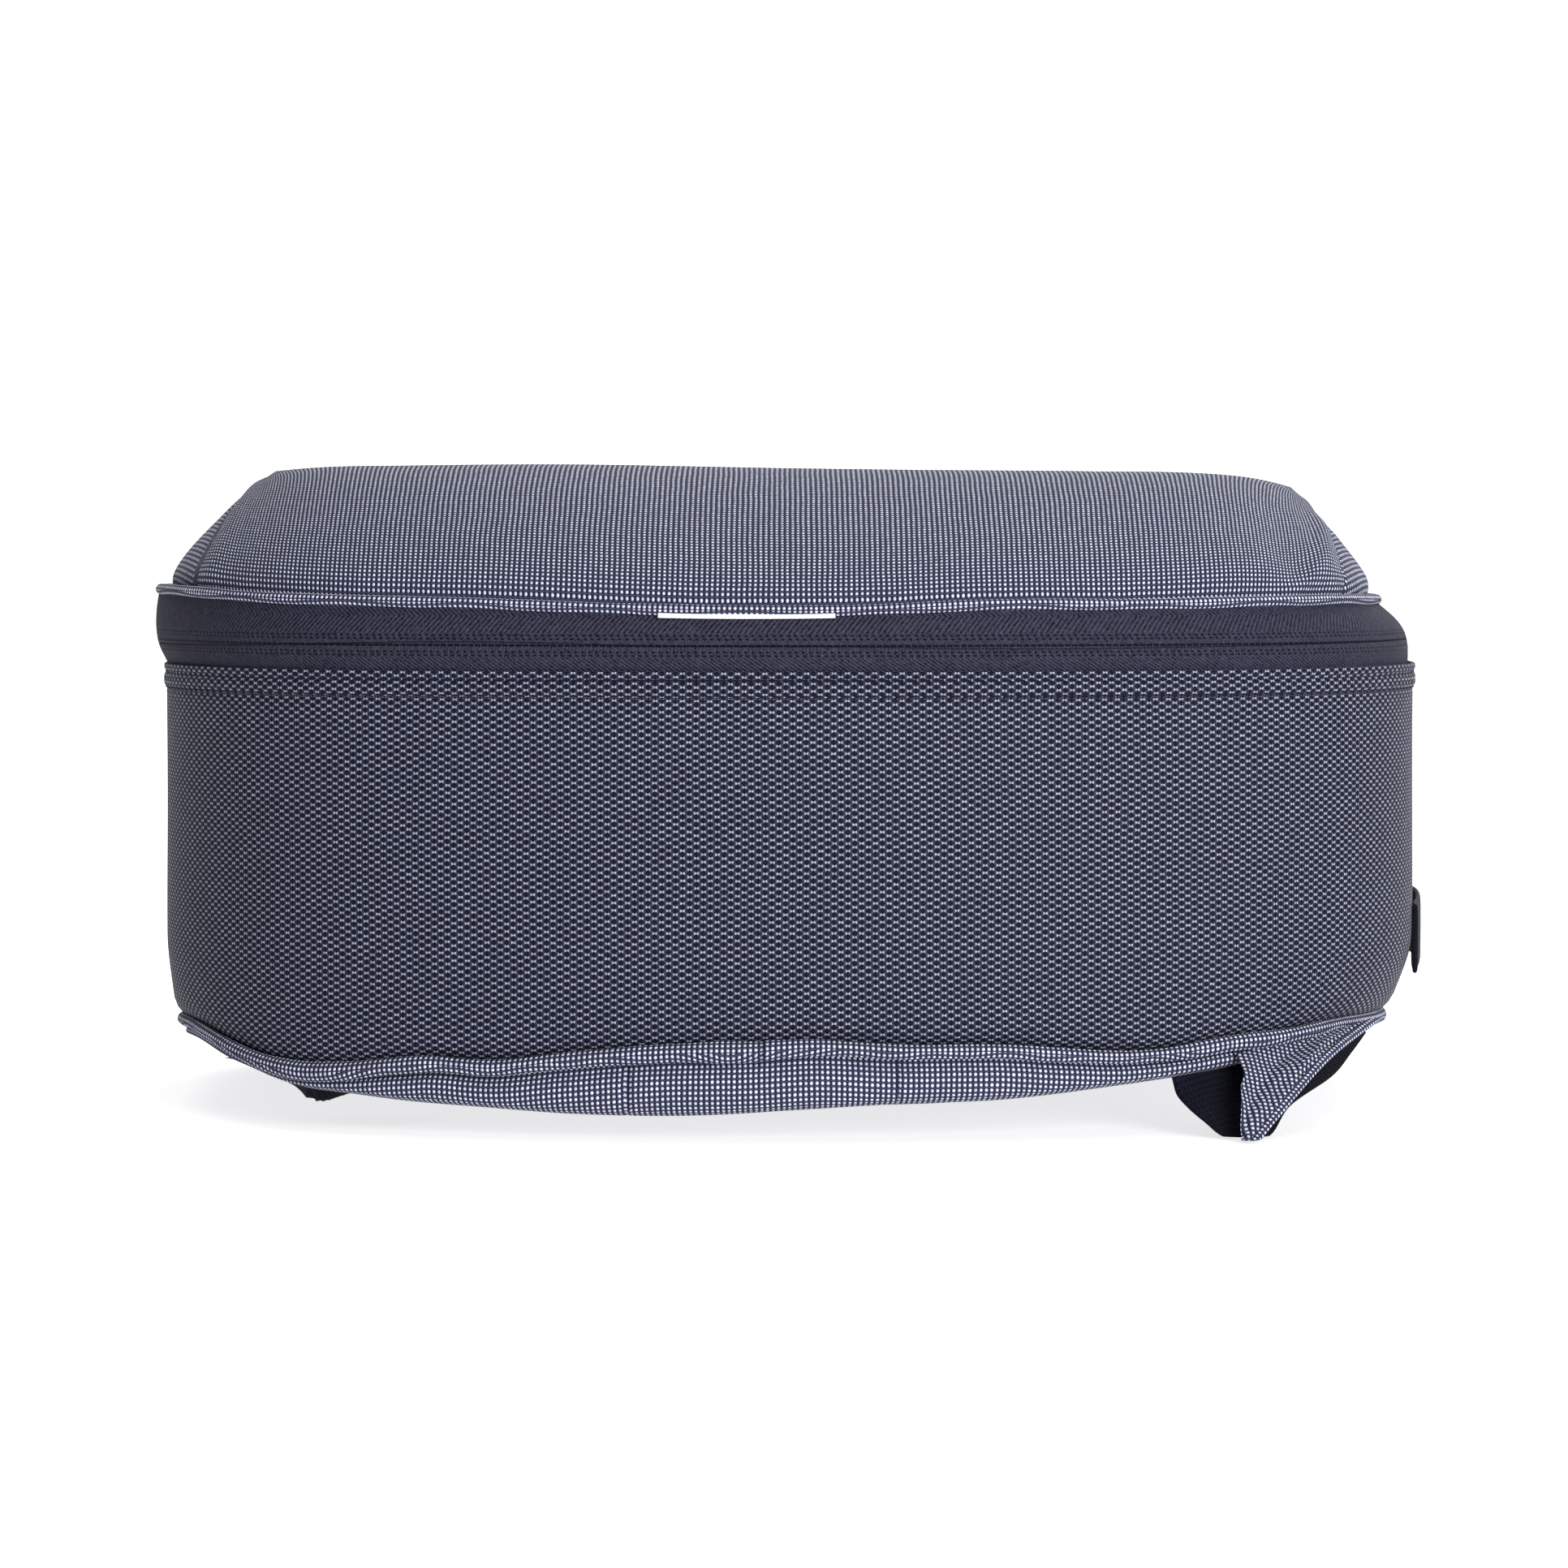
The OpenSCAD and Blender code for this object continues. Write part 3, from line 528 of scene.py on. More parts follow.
def tape_cloth():
    """Herringbone zip tape: fine slanting ribs that turn at 6.7 mm from the middle, paired needle holes either
    side of the chain."""
    g = Graph("zip_tape_cloth", Sheen_Weight=0.02, Sheen_Roughness=0.5)
    u, v = g.cloth()
    quick, grain = g.noise(900.0, 2.0), g.noise(2600.0, 2.0)
    side = abs(v)
    turn = abs(side - 6.7)
    lean = (u + turn * 1.15) / 1.28
    plain = 1.0 - side.step(2.5, 3.1)
    rib = ((lean + g.noise(60.0) * 0.3 + quick * 0.3).zigzag() * 2.0).step(0.1, 0.9)
    fine = (u / (COIL_PITCH / 2) + side * 0.5 + quick * 0.3).zigzag() * 2.0
    rib = rib * (1.0 - plain) + plain * (fine * 0.5 + 0.25)
    hole_x = (u / COIL_PITCH).zigzag() * COIL_PITCH
    hole_y = abs(abs(side - 1.9) - 0.40)
    hole = 1.0 - ((hole_x / 0.42) ** 2.0 + (hole_y / 0.24) ** 2.0).step(0.3, 1.3)
    bite = (1.0 - side.step(0.12, 0.42)) * ((u / COIL_PITCH + 0.4).zigzag() * 2.0).step(0.0, 0.3)
    tone = 0.42 + rib * 0.75 + quick * 0.8 + grain * 2.2
    base = g.shade(look().tape_colour, tone.over(0.1))
    dark = blend_of((0.0, 0.0, 0.0), look().tape_colour, 0.1)
    return g.finish(g.mix(hole.over(bite), base, dark), rib + quick * 0.5 + grain * 0.8 - hole * 1.4, 0.00016, 0.7)


def webbing_cloth():
    """Black webbing: close rows of slanting ribs with a flat selvedge."""
    g = Graph("webbing_cloth", Sheen_Weight=0.04, Sheen_Roughness=0.4)
    u, v = g.cloth()
    quick = g.noise(800.0, 2.0)
    rows = (v / 1.6).zigzag() * 2.0
    rib = (u / 0.9 + rows * 0.45 + quick * 0.1).zigzag() * 2.0
    height = rib.step(0.1, 0.8) * 0.7 + rows.step(0.0, 0.5) * 0.5 + quick * 0.4
    base = g.shade(look().webbing_colour, 0.6 + height * 0.9 + quick * 0.6)
    return g.finish(base, height, 0.00018, 0.62)


def plain_cloth(name, rgb, pitch, depth, lustre=0.55):
    """Fine plain weave: one thread over one thread, with slow cloudy changes of tone."""
    g = Graph(name, Sheen_Weight=0.05, Sheen_Roughness=0.5)
    u, v = g.cloth()
    over = (u * (math.pi / pitch)).sine() * (v * (math.pi / pitch)).sine()
    cloud, quick = g.noise(30.0, 3.0), g.noise(1500.0, 1.0)
    tone = 0.9 + over * 0.18 + cloud * 0.35 + quick * 0.4
    return g.finish(g.shade(rgb, tone), over + quick * 0.5, depth, lustre)


def lining_cloth():
    """Smooth grey taffeta."""
    return plain_cloth("lining_cloth", look().lining_colour, 0.42, 0.00006)


def ribbon_cloth():
    """Black ribbon with fine cross ribs."""
    g = Graph("ribbon_cloth", Sheen_Weight=0.05)
    rib, quick = (g.cloth()[0] / 0.7).zigzag() * 2.0, g.noise(900.0)
    base = g.shade(look().webbing_colour, 1.3 + rib * 0.9 + quick)
    return g.finish(base, rib.step(0.0, 0.8) + quick * 0.3, 0.00012, 0.6)


def label_cloth():
    """White satin, nearly smooth, with a soft thread grain along it."""
    return plain_cloth("label_cloth", look().label_colour, 0.25, 0.00002, 0.5)


def thread():
    """Dark sewing thread, twisted."""
    g = Graph("thread", Sheen_Weight=0.05)
    u, v = g.cloth()
    twist, quick = (u / 0.5 + v).zigzag() * 2.0, g.noise(900.0)
    return g.finish(g.shade((0.007, 0.007, 0.014), 0.7 + twist * 0.6 + quick), twist, 0.00008, 0.5)


def coil_plastic():
    """Black nylon coil, slightly worn on its crests."""
    g = Graph("coil_plastic", Specular_IOR_Level=0.4)
    quick = g.noise(900.0, 3.0)
    return g.finish(g.shade((0.02, 0.02, 0.025), 1.0 + quick * 1.2), quick, 0.00002, 0.35 + quick * 0.3)


def slider_metal():
    """Dark plated zinc with fine tumbling marks and paler worn patches."""
    g = Graph("slider_metal", Metallic=1.0)
    marks, cloud = g.noise(2500.0, 3.0), g.noise(160.0, 3.0)
    worn = (cloud + 0.5).step(0.5, 0.8)
    base = g.mix(worn * 0.4, look().metal_colour, blend_of(look().metal_colour, (0.5, 0.5, 0.5), 0.5))
    return g.finish(g.shade(base, 1.0 + marks * 0.3), marks + cloud, 0.00003, 0.36 + marks * 0.25)


def pale_floor():
    """Plain pale studio paper, which glows a little so that its shadows stay soft."""
    g = Graph("pale_floor", Emission_Color=(1.0, 1.0, 1.0, 1.0), Emission_Strength=0.72)
    grain = g.noise(300.0)
    return g.finish(g.shade((0.5, 0.5, 0.5), 1.0 + grain * 0.01), grain, 0.00002, 0.9)


MADE = {}


def material(maker):
    """The material that maker makes, made once."""
    if maker not in MADE:
        MADE[maker] = maker().name
    return bpy.data.materials[MADE[maker]]


# Pieces


def grid(name, points, cloth, maker, around=False, across=False):
    """A grid of points in millimetres as a mesh piece. around joins the last column to the first and across the
    last row to the first; cloth has one column or row more there. Faces point to column step x row step."""
    rows, cols = points.shape[:2]
    r, c = np.meshgrid(np.arange(rows - (not across)), np.arange(cols - (not around)), indexing="ij")
    corners = ((r, c), (r, c + 1), (r + 1, c + 1), (r + 1, c))
    quads = np.stack([(a % rows) * cols + b % cols for a, b in corners], -1).reshape(-1, 4)
    uv = np.stack([cloth[a, b] for a, b in corners], 2).reshape(-1, 2)
    return mesh_piece(name, points.reshape(-1, 3), quads, uv, maker)


def mesh_piece(name, points, faces, uv, maker, merge=True):
    """Points in millimetres, faces of equal size and cloth coordinates for each corner, as a smooth mesh piece."""
    mesh = bpy.data.meshes.new(name)
    size = faces.shape[1]
    mesh.vertices.add(len(points))
    mesh.vertices.foreach_set("co", (points * MM).astype(np.float32).ravel())
    mesh.loops.add(faces.size)
    mesh.loops.foreach_set("vertex_index", faces.astype(np.int32).ravel())
    mesh.polygons.add(len(faces))
    mesh.polygons.foreach_set("loop_start", np.arange(0, faces.size, size, dtype=np.int32))
    mesh.polygons.foreach_set("loop_total", np.full(len(faces), size, np.int32))
    mesh.polygons.foreach_set("use_smooth", np.ones(len(faces), bool))
    mesh.uv_layers.new(name="cloth").data.foreach_set("uv", (uv * MM).astype(np.float32).ravel())
    mesh.update(calc_edges=True)
    if merge:
        bm = bmesh.new()
        bm.from_mesh(mesh)
        bmesh.ops.remove_doubles(bm, verts=bm.verts, dist=2e-6)
        bmesh.ops.dissolve_degenerate(bm, edges=bm.edges, dist=1e-7)
        bm.to_mesh(mesh)
        bm.free()
    mesh.validate()
    piece = bpy.data.objects.new(name, mesh)
    bpy.context.scene.collection.objects.link(piece)
    mesh.materials.append(material(maker))
    return piece


def thicken(piece, thickness, offset=-1.0):
    """Gives a sheet its thickness: inwards from its face at the offset -1, to both sides at 0."""
    solid = piece.modifiers.new("thickness", "SOLIDIFY")
    solid.thickness, solid.offset, solid.use_rim, solid.thickness_clamp = thickness * MM, offset, True, 2.0
    return piece


def closed(piece):
    """Fills the open ends of a piece and turns its faces outwards."""
    bm = bmesh.new()
    bm.from_mesh(piece.data)
    bmesh.ops.holes_fill(bm, edges=[e for e in bm.edges if e.is_boundary], sides=0)
    bmesh.ops.recalc_face_normals(bm, faces=bm.faces)
    bm.to_mesh(piece.data)
    bm.free()
    return piece


def sewn(piece, body, slot, *nodes):
    """Sews a piece on: it rides on the body, takes its finish from the slot and stands for the nodes."""
    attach(piece, body)
    if nodes:
        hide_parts(*nodes)
    return piece


def belt(name, s, out, z, maker, closed=False, slide=True, flip=False, zero=0):
    """A profile carried round the outline: row j, column i is the point out[j, i] beyond the outline at the run
    s[i], at the height z[j, i]. The cloth runs along s and across the profile, counted from the row zero."""
    full = abs(s[-1] - s[0] - LENGTH) < 1e-6
    out, z = (np.broadcast_to(k, (k.shape[0], len(s))) for k in (out, z))
    x, y = plan(s[None, :], out)
    points = np.stack([lid_place(x, z) if slide else x, y, sag(s, z) if slide else z], -1)
    run = run_across(points)
    cloth = np.stack([np.broadcast_to(s, z.shape), run - run[zero]], -1)
    if closed:
        cloth = np.concatenate([cloth, cloth[-1:] + [0, np.linalg.norm(points[0] - points[-1], axis=1).mean()]])
    if full:
        points = points[:, :-1]
    if flip:
        points, cloth = points[::-1], cloth[::-1]
        if closed:
            points = np.roll(points, 1, 0)
    return grid(name, points, cloth, maker, around=full, across=closed)


# Cloth that is blown up: frames, pressure, mass of a point in kg, stiffness against stretching and bending
FRAMES, PRESSURE, CLOTH_MASS, STIFF, BEND = 20, 4.0, 0.3, 12, 0.4


def swell(name, points, columns, rows, cap, held=0.0):
    """How a grid of points moves when the cloth is blown up from behind: a coarse copy of the grid, pinned along
    its edges and wherever held is one, runs FRAMES of Blender's cloth with pressure and without gravity. Each
    point's movement is cut to the length cap and spread over the fine grid bilinearly."""
    r = np.unique(np.linspace(0, points.shape[0] - 1, rows).round().astype(int))
    c = np.unique(np.linspace(0, points.shape[1] - 1, columns).round().astype(int))
    start = points[np.ix_(r, c)]
    pins = np.broadcast_to(held, points.shape[:2])[np.ix_(r, c)].astype(float)
    pins[[0, -1]] = 1
    pins[:, [0, -1]] = 1
    a, b = np.meshgrid(np.arange(len(r) - 1), np.arange(len(c) - 1), indexing="ij")
    first = a * len(c) + b
    quads = np.stack([first, first + 1, first + len(c) + 1, first + len(c)], -1).reshape(-1, 4)
    mesh = bpy.data.meshes.new(name)
    mesh.from_pydata((start.reshape(-1, 3) * MM).tolist(), [], quads.tolist())
    pad = bpy.data.objects.new(name, mesh)
    bpy.context.scene.collection.objects.link(pad)
    group = pad.vertex_groups.new(name="seam")
    group.add(np.flatnonzero(pins.ravel()).tolist(), 1.0, "REPLACE")
    cloth = pad.modifiers.new("cloth", "CLOTH")
    how = cloth.settings
    how.quality, how.mass, how.vertex_group_mass = 5, CLOTH_MASS, "seam"
    how.tension_stiffness = how.compression_stiffness = STIFF
    how.bending_stiffness = BEND
    how.use_pressure, how.uniform_pressure_force = True, PRESSURE
    how.effector_weights.gravity = 0
    cloth.point_cache.frame_start, cloth.point_cache.frame_end = 1, FRAMES
    for moment in range(1, FRAMES + 1):
        bpy.context.scene.frame_set(moment)
    blown = pad.evaluated_get(bpy.context.evaluated_depsgraph_get())
    end = np.zeros(start.size)
    blown.data.vertices.foreach_get("co", end)
    bpy.data.objects.remove(pad)
    bpy.data.meshes.remove(mesh)
    bpy.context.scene.frame_set(1)
    move = np.nan_to_num(end.reshape(start.shape) / MM - start)
    move = unit(move) * cap * np.tanh(np.linalg.norm(move, axis=-1, keepdims=True) / cap)
    for axis, known in ((1, c), (0, r)):
        every = np.arange(points.shape[axis])
        move = np.apply_along_axis(lambda line: np.interp(every, known, line), axis, move)
    return move


def whole(steps):
    """Runs right round the outline."""
    return np.linspace(0, LENGTH, steps + 1)


def column(*values):
    """Values down a profile, one to a row."""
    return np.array(values, float)[:, None]


def ring_along(line, first, second, wide, deep):
    """Rings round a line of points: row j, column i is line[i] + wide[j] first[i] + deep[j] second[i]."""
    return line + wide[:, None, None] * first + deep[:, None, None] * second


def tube_cloth(run, around):
    """Cloth coordinates of a tube: the run along it and the way round its section."""
    return np.stack(np.broadcast_arrays(run, around[:, None]), -1)


def round_section(out, z, radius, steps):
    """Circle of the radius about (out, z), all of which may change along the run; rows turn round the circle."""
    turn = turn_steps(steps)[:, None]
    return out + radius * np.cos(turn), z + radius * np.sin(turn)


def stitches(name, path, normal, pitch, long, thick):
    """A row of stitches along a path of points: each is a short thread, a flattened six-sided spindle whose
    middle stands proud of the cloth and whose ends dive into it."""
    walked = run_along(path)
    count = int(walked[-1] / pitch)
    centre = (np.arange(count) + 0.5) * pitch
    t = np.array([-0.5, -0.3, 0.0, 0.3, 0.5]) * long
    where = centre[:, None] + t
    p, n = (np.stack([np.interp(where, walked, k) for k in line.T], -1) for line in (path, normal))
    n = unit(n)
    side = np.cross(unit(np.gradient(p, axis=1)), n)
    lift = np.array([-1.2, 0.1, 0.5, 0.1, -1.2]) * thick
    wide = np.array([0.35, 1.0, 1.05, 1.0, 0.35]) * thick
    a = turn_steps(6)
    ring = (p + n * lift[:, None])[:, :, None] + wide[:, None, None] * (
        np.cos(a)[:, None] * n[:, :, None] * 0.8 + np.sin(a)[:, None] * side[:, :, None])
    points = ring.reshape(-1, 3)
    k, q = np.meshgrid(np.arange(4) * 6, np.arange(6), indexing="ij")
    following = (q + 1) % 6
    one = np.stack([k + q, k + following, k + 6 + following, k + 6 + q], -1).reshape(-1, 4)
    ends = np.array([[5, 4, 1, 0], [4, 3, 2, 1], [24, 25, 28, 29], [25, 26, 27, 28]])
    one = np.concatenate([one, ends])
    faces = (np.arange(count)[:, None, None] * 30 + one).reshape(-1, 4)
    uv = np.stack([faces % 6 * 0.3, faces // 6 % 5 * 0.6], -1).reshape(-1, 2)
    return mesh_piece(name, points, faces, uv, thread, merge=False)


def lid_rise(t):
    """Share of the way in and of the way up, at the share t of the cloth's run from the lid's seam to its ridge:
    upright at first, then leaning back at 45 degrees, then ever flatter."""
    across = (0, 0.3, 1.4, 4.2, 8.5, 13, 18.8, 28.4, 45, 65, 88, 107)
    upward = (0, 2.6, 5.0, 7.9, 11, 13.7, 16.8, 21.2, 27.3, 31.6, 33.4, 33.5)
    walked = run_along(np.stack([across, upward], -1))
    walked /= walked[-1]
    inward = (np.interp(t, walked, across) + through(t, *zip(walked, across))) / 2 / across[-1]
    return inward, through(t, *zip(walked, upward)) / upward[-1]


def crown(x):
    """Height of the lid's ridge, which droops towards the ends and most at the right one."""
    return CROWN_Z - 0.35 + through(x, (-148, -4), (-126, -1.6), (-112, -0.5), (-90, -0.1), (-50, 0.15), (-20, -0.3),
                                    (0, -0.7), (30, -1.1), (80, -1.5), (106, -1.9), (113, -2.3), (121, -3.2),
                                    (127, -4.4), (133, -6), (148, -10))


def lid_point(s_front, s_back, t, deep=0.0):
    """The lid's surface, deep inside its cover. At t from 0 at the seam to 1 at the ridge the outline has shrunk
    across by lid_rise; its ends have leaned in by ((f - 0.12) / 0.88)^1.45 of the lean at the share f of the rise."""
    inward, up = lid_rise(t)
    half = HALF_W + LID_OUT - 0.6 - deep
    out = LID_OUT - deep - 0.6 * ease((np.abs(ahead(s_front)) - 130) / 60)
    x, y = plan(s_front, out)
    x = x + (plan(s_back, out)[0] - x) * ease((t - 0.55) / 0.45) / 2
    lean = (20.7 - 3.4 * np.clip(x / 140, -1, 1)) * np.clip((up - 0.12) / 0.88, 0, 1) ** 1.45
    lean = lean - 1.5 * ease(up / 0.3) * (1 - ease((up - 0.62) / 0.2)) * (x > 0)
    x = x * (1 - lean / half)
    low = DOME_Z + seam_wave(s_front) - 0.6
    return np.stack([x, y * (1 - inward), low + (crown(x) - deep - low) * up], -1)


# Runs from the middle of the front to an end seam and to the middle of an end, and the share of the columns
# between the two end seams
LID_SEAM, LID_END, LID_SHARE = 159.0, FRONT_S - END_S, 0.85


def lid_grid(steps, rows, deep=0.0):
    """Columns from the left end to the right end, rows from the front seam over the ridge to the back seam. The
    columns at LID_SHARE of the way to each end follow the end seams, which bend towards the ends of the ridge;
    past them the cloth of the end panels runs the other way. Returns points, cloth coordinates, and for each point
    its run off the nearest end seam, its share of the rise and its run from the middle of the front."""
    t = np.linspace(0, 1, rows + 1)[:, None] ** 0.92
    share = np.linspace(-1, 1, steps + 1)[None, :]
    up = lid_rise(t)[1]
    seam = LID_SEAM + (LID_END - LID_SEAM) * through(up, (0, 0), (0.3, 0.03), (0.6, 0.2), (0.85, 0.55), (1, 0.97))
    size = np.abs(share)
    hand = np.where(share < 0, -1.0, 1.0)
    a = hand * np.where(size < LID_SHARE, size / LID_SHARE * seam,
                        seam + (size - LID_SHARE) / (1 - LID_SHARE) * (LID_END - seam))

    def both(front, back=None):
        """Rows of the front, then those of the back from the ridge down."""
        return np.concatenate([front, (front if back is None else back)[-2::-1]])

    behind = -a * END_S / LID_END
    points = both(lid_point(FRONT_S + a, behind, t, deep), lid_point(behind, FRONT_S + a, t, deep))
    walked = run_across(points.swapaxes(0, 1)).T
    slope = 0.8 * points[..., 2] - 0.6 * np.abs(points[..., 0]) + 0.12 * points[..., 1]
    cloth = np.where((size > LID_SHARE)[..., None], np.stack([points[..., 1] + 400, slope], -1),
                     np.stack([walked - walked[:, [steps // 2]], run_across(points) / 1.065], -1))
    return points, cloth, both(a - hand * seam), both(np.broadcast_to(up, a.shape)), both(a)


# Camera: place in metres, lens and degrees that it looks down; paper: reach and the bend's radius in millimetres
CAMERA_AT, LENS, LOOK_DOWN = (-0.0014, -1.4, 0.142), 130.4, 2.67
PAPER_REACH, PAPER_BEND = 4000, 900
WORLD_TINT, WORLD_POWER = (0.95, 0.97, 1.0, 1), 0.14
# Lights: name, place and target in metres, size in metres and power in watts
LIGHTS = (
    ("front_right", (1.0, -2.0, 0.5), (0, 0, 0.07), 1.2, 66.0),
    ("top", (0.3, -0.1, 1.9), (0, 0, 0.07), 1.8, 13.0),
    ("rim", (0.8, 1.3, 1.2), (0, 0, 0.07), 1.2, 8.0),
    ("backdrop", (0.0, 0.9, 2.4), (0, 2.6, 0.8), 2.4, 45.0),
)


class CUBE_OT_stage(bpy.types.Operator):
    """Sets up the camera, the paper sweep and soft studio light"""

    bl_idname = "cube.stage"
    bl_label = "Camera, floor and light"

    def execute(self, context):
        camera = bpy.data.objects.new("camera", bpy.data.cameras.new("camera"))
        camera.data.lens, camera.data.sensor_width = LENS, 36.0
        camera.data.clip_start, camera.data.clip_end = 0.05, 60.0
        camera.location = CAMERA_AT
        camera.rotation_euler = (math.radians(90 - LOOK_DOWN), 0, 0)
        context.scene.collection.objects.link(camera)
        context.scene.camera = camera
        context.scene.view_settings.view_transform = "Standard"

        # Paper: flat floor, a quarter circle up, then a wall
        turn = np.linspace(0, np.pi / 2, 24)
        y = np.concatenate([[-PAPER_REACH, -900, 900], 1500 + PAPER_BEND * np.sin(turn), [1500 + PAPER_BEND]])
        z = np.concatenate([[0, 0, 0], PAPER_BEND - PAPER_BEND * np.cos(turn), [PAPER_REACH]])
        x = np.linspace(-PAPER_REACH, PAPER_REACH, 9)
        points = np.stack(np.broadcast_arrays(x[None, :], y[:, None], z[:, None]), -1).astype(float)
        grid("paper_sweep", points, points[:, :, :2], pale_floor)

        world = bpy.data.worlds.new("studio")
        context.scene.world = world
        world.use_nodes = True
        for socket, value in zip(world.node_tree.nodes["Background"].inputs, (WORLD_TINT, WORLD_POWER)):
            socket.default_value = value
        for name, where, target, size, power in LIGHTS:
            light = bpy.data.objects.new(name, bpy.data.lights.new(name, "AREA"))
            light.data.shape, light.data.size, light.data.energy = "SQUARE", size, power
            light.location = where
            light.rotation_euler = (Vector(target) - Vector(where)).to_track_quat("-Z", "Y").to_euler()
            context.scene.collection.objects.link(light)
        return {"FINISHED"}


class CUBE_OT_walls(bpy.types.Operator):
    """Sews the stuffed charcoal wall with its folded hem and the two rows of stitches round it"""

    bl_idname = "cube.walls"
    bl_label = "Wall"

    def execute(self, context):
        s = whole(760)
        low = PIPING_Z + piping_rise(s) + piping_radius(s) * 0.35
        z = low + (HEM_LOW - 0.5 - low) * np.linspace(0, 1, 46)[:, None] ** 0.9
        steps = column(-0.15, 0.1, 0.35, 0.7, 1.2, 1.8, 2.3, 2.6, 2.9, 3.15, 3.35, 3.5, 3.65, 3.9, 4.3, 4.7, 5.0, 5.25,
                       5.45, 5.58)
        z = np.concatenate([z, HEM_LOW + steps + np.zeros_like(s)])
        out = self.out(s, z)
        # The hem folds over and runs down inside
        roll = column(10, 40, 70, 90, 120, 150, 175) * np.pi / 180
        out = np.concatenate([out, out[-1:] - 0.55 + 0.55 * np.cos(roll), out[-1:] - 1.15 + column(0, -0.1)])
        z = np.concatenate([z, z[-1:] + 0.4 * np.sin(roll), z[-1:] - column(2.5, 6.0)])
        # The stuffing presses the wall out between its piping and its hem; its ends are held by the handle
        x, y = plan(s, out)
        rows = np.flatnonzero(z[:, 0] < HEM_LOW - 0.4)
        moved = swell("wall_pad", np.stack([x, y, z], -1)[rows], 181, 20, 1.3,
                      held=np.broadcast_to(np.abs(ahead(s)) > 165, (len(rows), len(s))))
        further_x, further_y = plan(s, out + 1)
        push = np.zeros_like(out)
        push[rows] = moved[..., 0] * (further_x - x)[rows] + moved[..., 1] * (further_y - y)[rows]
        wall = thicken(belt("wall_panel", s, out + push, z, wall_cloth, slide=False, zero=65), 0.7)
        sewn(wall, "base", "wall_fabric", "wall_front", "wall_back", "wall_foam")
        for name, row in zip(("hem_stitch_low", "hem_stitch_high"), HEM_ROWS):
            height = np.full(len(s), HEM_LOW + row)
            o = self.out(s, height[None, :])[0]
            path, further = (np.stack([*plan(s, o + more), height], -1) for more in (-0.05, 1))
            threads = stitches(name, path, further - path, look().stitch_pitch / MM, STITCH_LONG, STITCH_THICK)
            sewn(threads, "base", "wall_fabric")
        return {"FINISHED"}

    def out(self, s, z):
        """How far the wall stands out: a slow bulge along the front, ripples, the hem's extra layer with two sewn
        dents, its foot drawn in at the ends and tucked in behind the piping."""
        height = np.clip((z - PIPING_Z) / (HEM_LOW - PIPING_Z), 0, 1)
        bulge = look().wall_bulge / MM * np.sin(np.pi * height) ** 0.7 * (1 - ease((np.abs(ahead(s)) - 60) / 80))
        uneven = ripple(s, z) * np.sin(np.pi * np.clip(height * 0.9 + 0.1, 0, 1)) * 0.5
        layer = HEM_T * ease((z - HEM_LOW + 0.12) / 0.3)
        dents = -0.55 * bell(z, HEM_LOW + HEM_ROWS[0], 0.42) - 0.5 * bell(z, HEM_LOW + HEM_ROWS[1], 0.5)
        puckers = 0.08 * np.sin(s * 2 * np.pi / 3.13) * bell(z, HEM_LOW + 1.8, 2.6)
        drawn = wall_foot(s) * ease((42 - z) / 24)
        above = z - PIPING_Z - piping_rise(s)
        tuck = -3.0 * np.clip(1 - above / 5.6, 0, 1) ** 2.0
        return bulge + uneven + layer + dents + puckers + drawn + tuck


# The base cloth's profile, out and up: from behind the piping down to its lowest edge, then in under the cube
BASE_EDGE = 6.2
BASE_LINE = np.array([(-2.2, 19.2), (-2.0, 17.6), (-1.0, 15.9), (-0.3, 14.2), (-0.2, 12.0), (-0.3, 9.6), (-0.8, 7.8),
                      (-2.0, 6.4), (-4.4, 5.5), (-10.0, 4.9), (-20.0, 4.0), (-30.0, 3.1), (-40.0, 2.2), (-50.0, 1.3),
                      (-60.0, 0.5)])


def base_fade(out):
    """Share of the base's curl that is left so far in: all of it to 20 mm, none from 130 mm."""
    return 1 - np.clip((-out - 20) / 110, 0, 1)


def foot_in(s, out):
    """How far the piping's foot draws the base in with it: fully at the outline, not at all from 40 mm in."""
    return piping_foot(s) * np.clip((40 + out) / 40, 0, 1)


def closed_in(points, steps, power, height=0.0):
    """Points carried on from their last row straight in to the middle of the bottom: across by even steps, and to
    that height over the floor by each step's share of the way out to the power."""
    share = np.linspace(1, 0, steps)[1:, None, None]
    middle = [0, 0, height]
    inner = (points[-1:] - middle) * np.concatenate([share, share, share**power], -1) + middle
    return np.concatenate([points, inner])


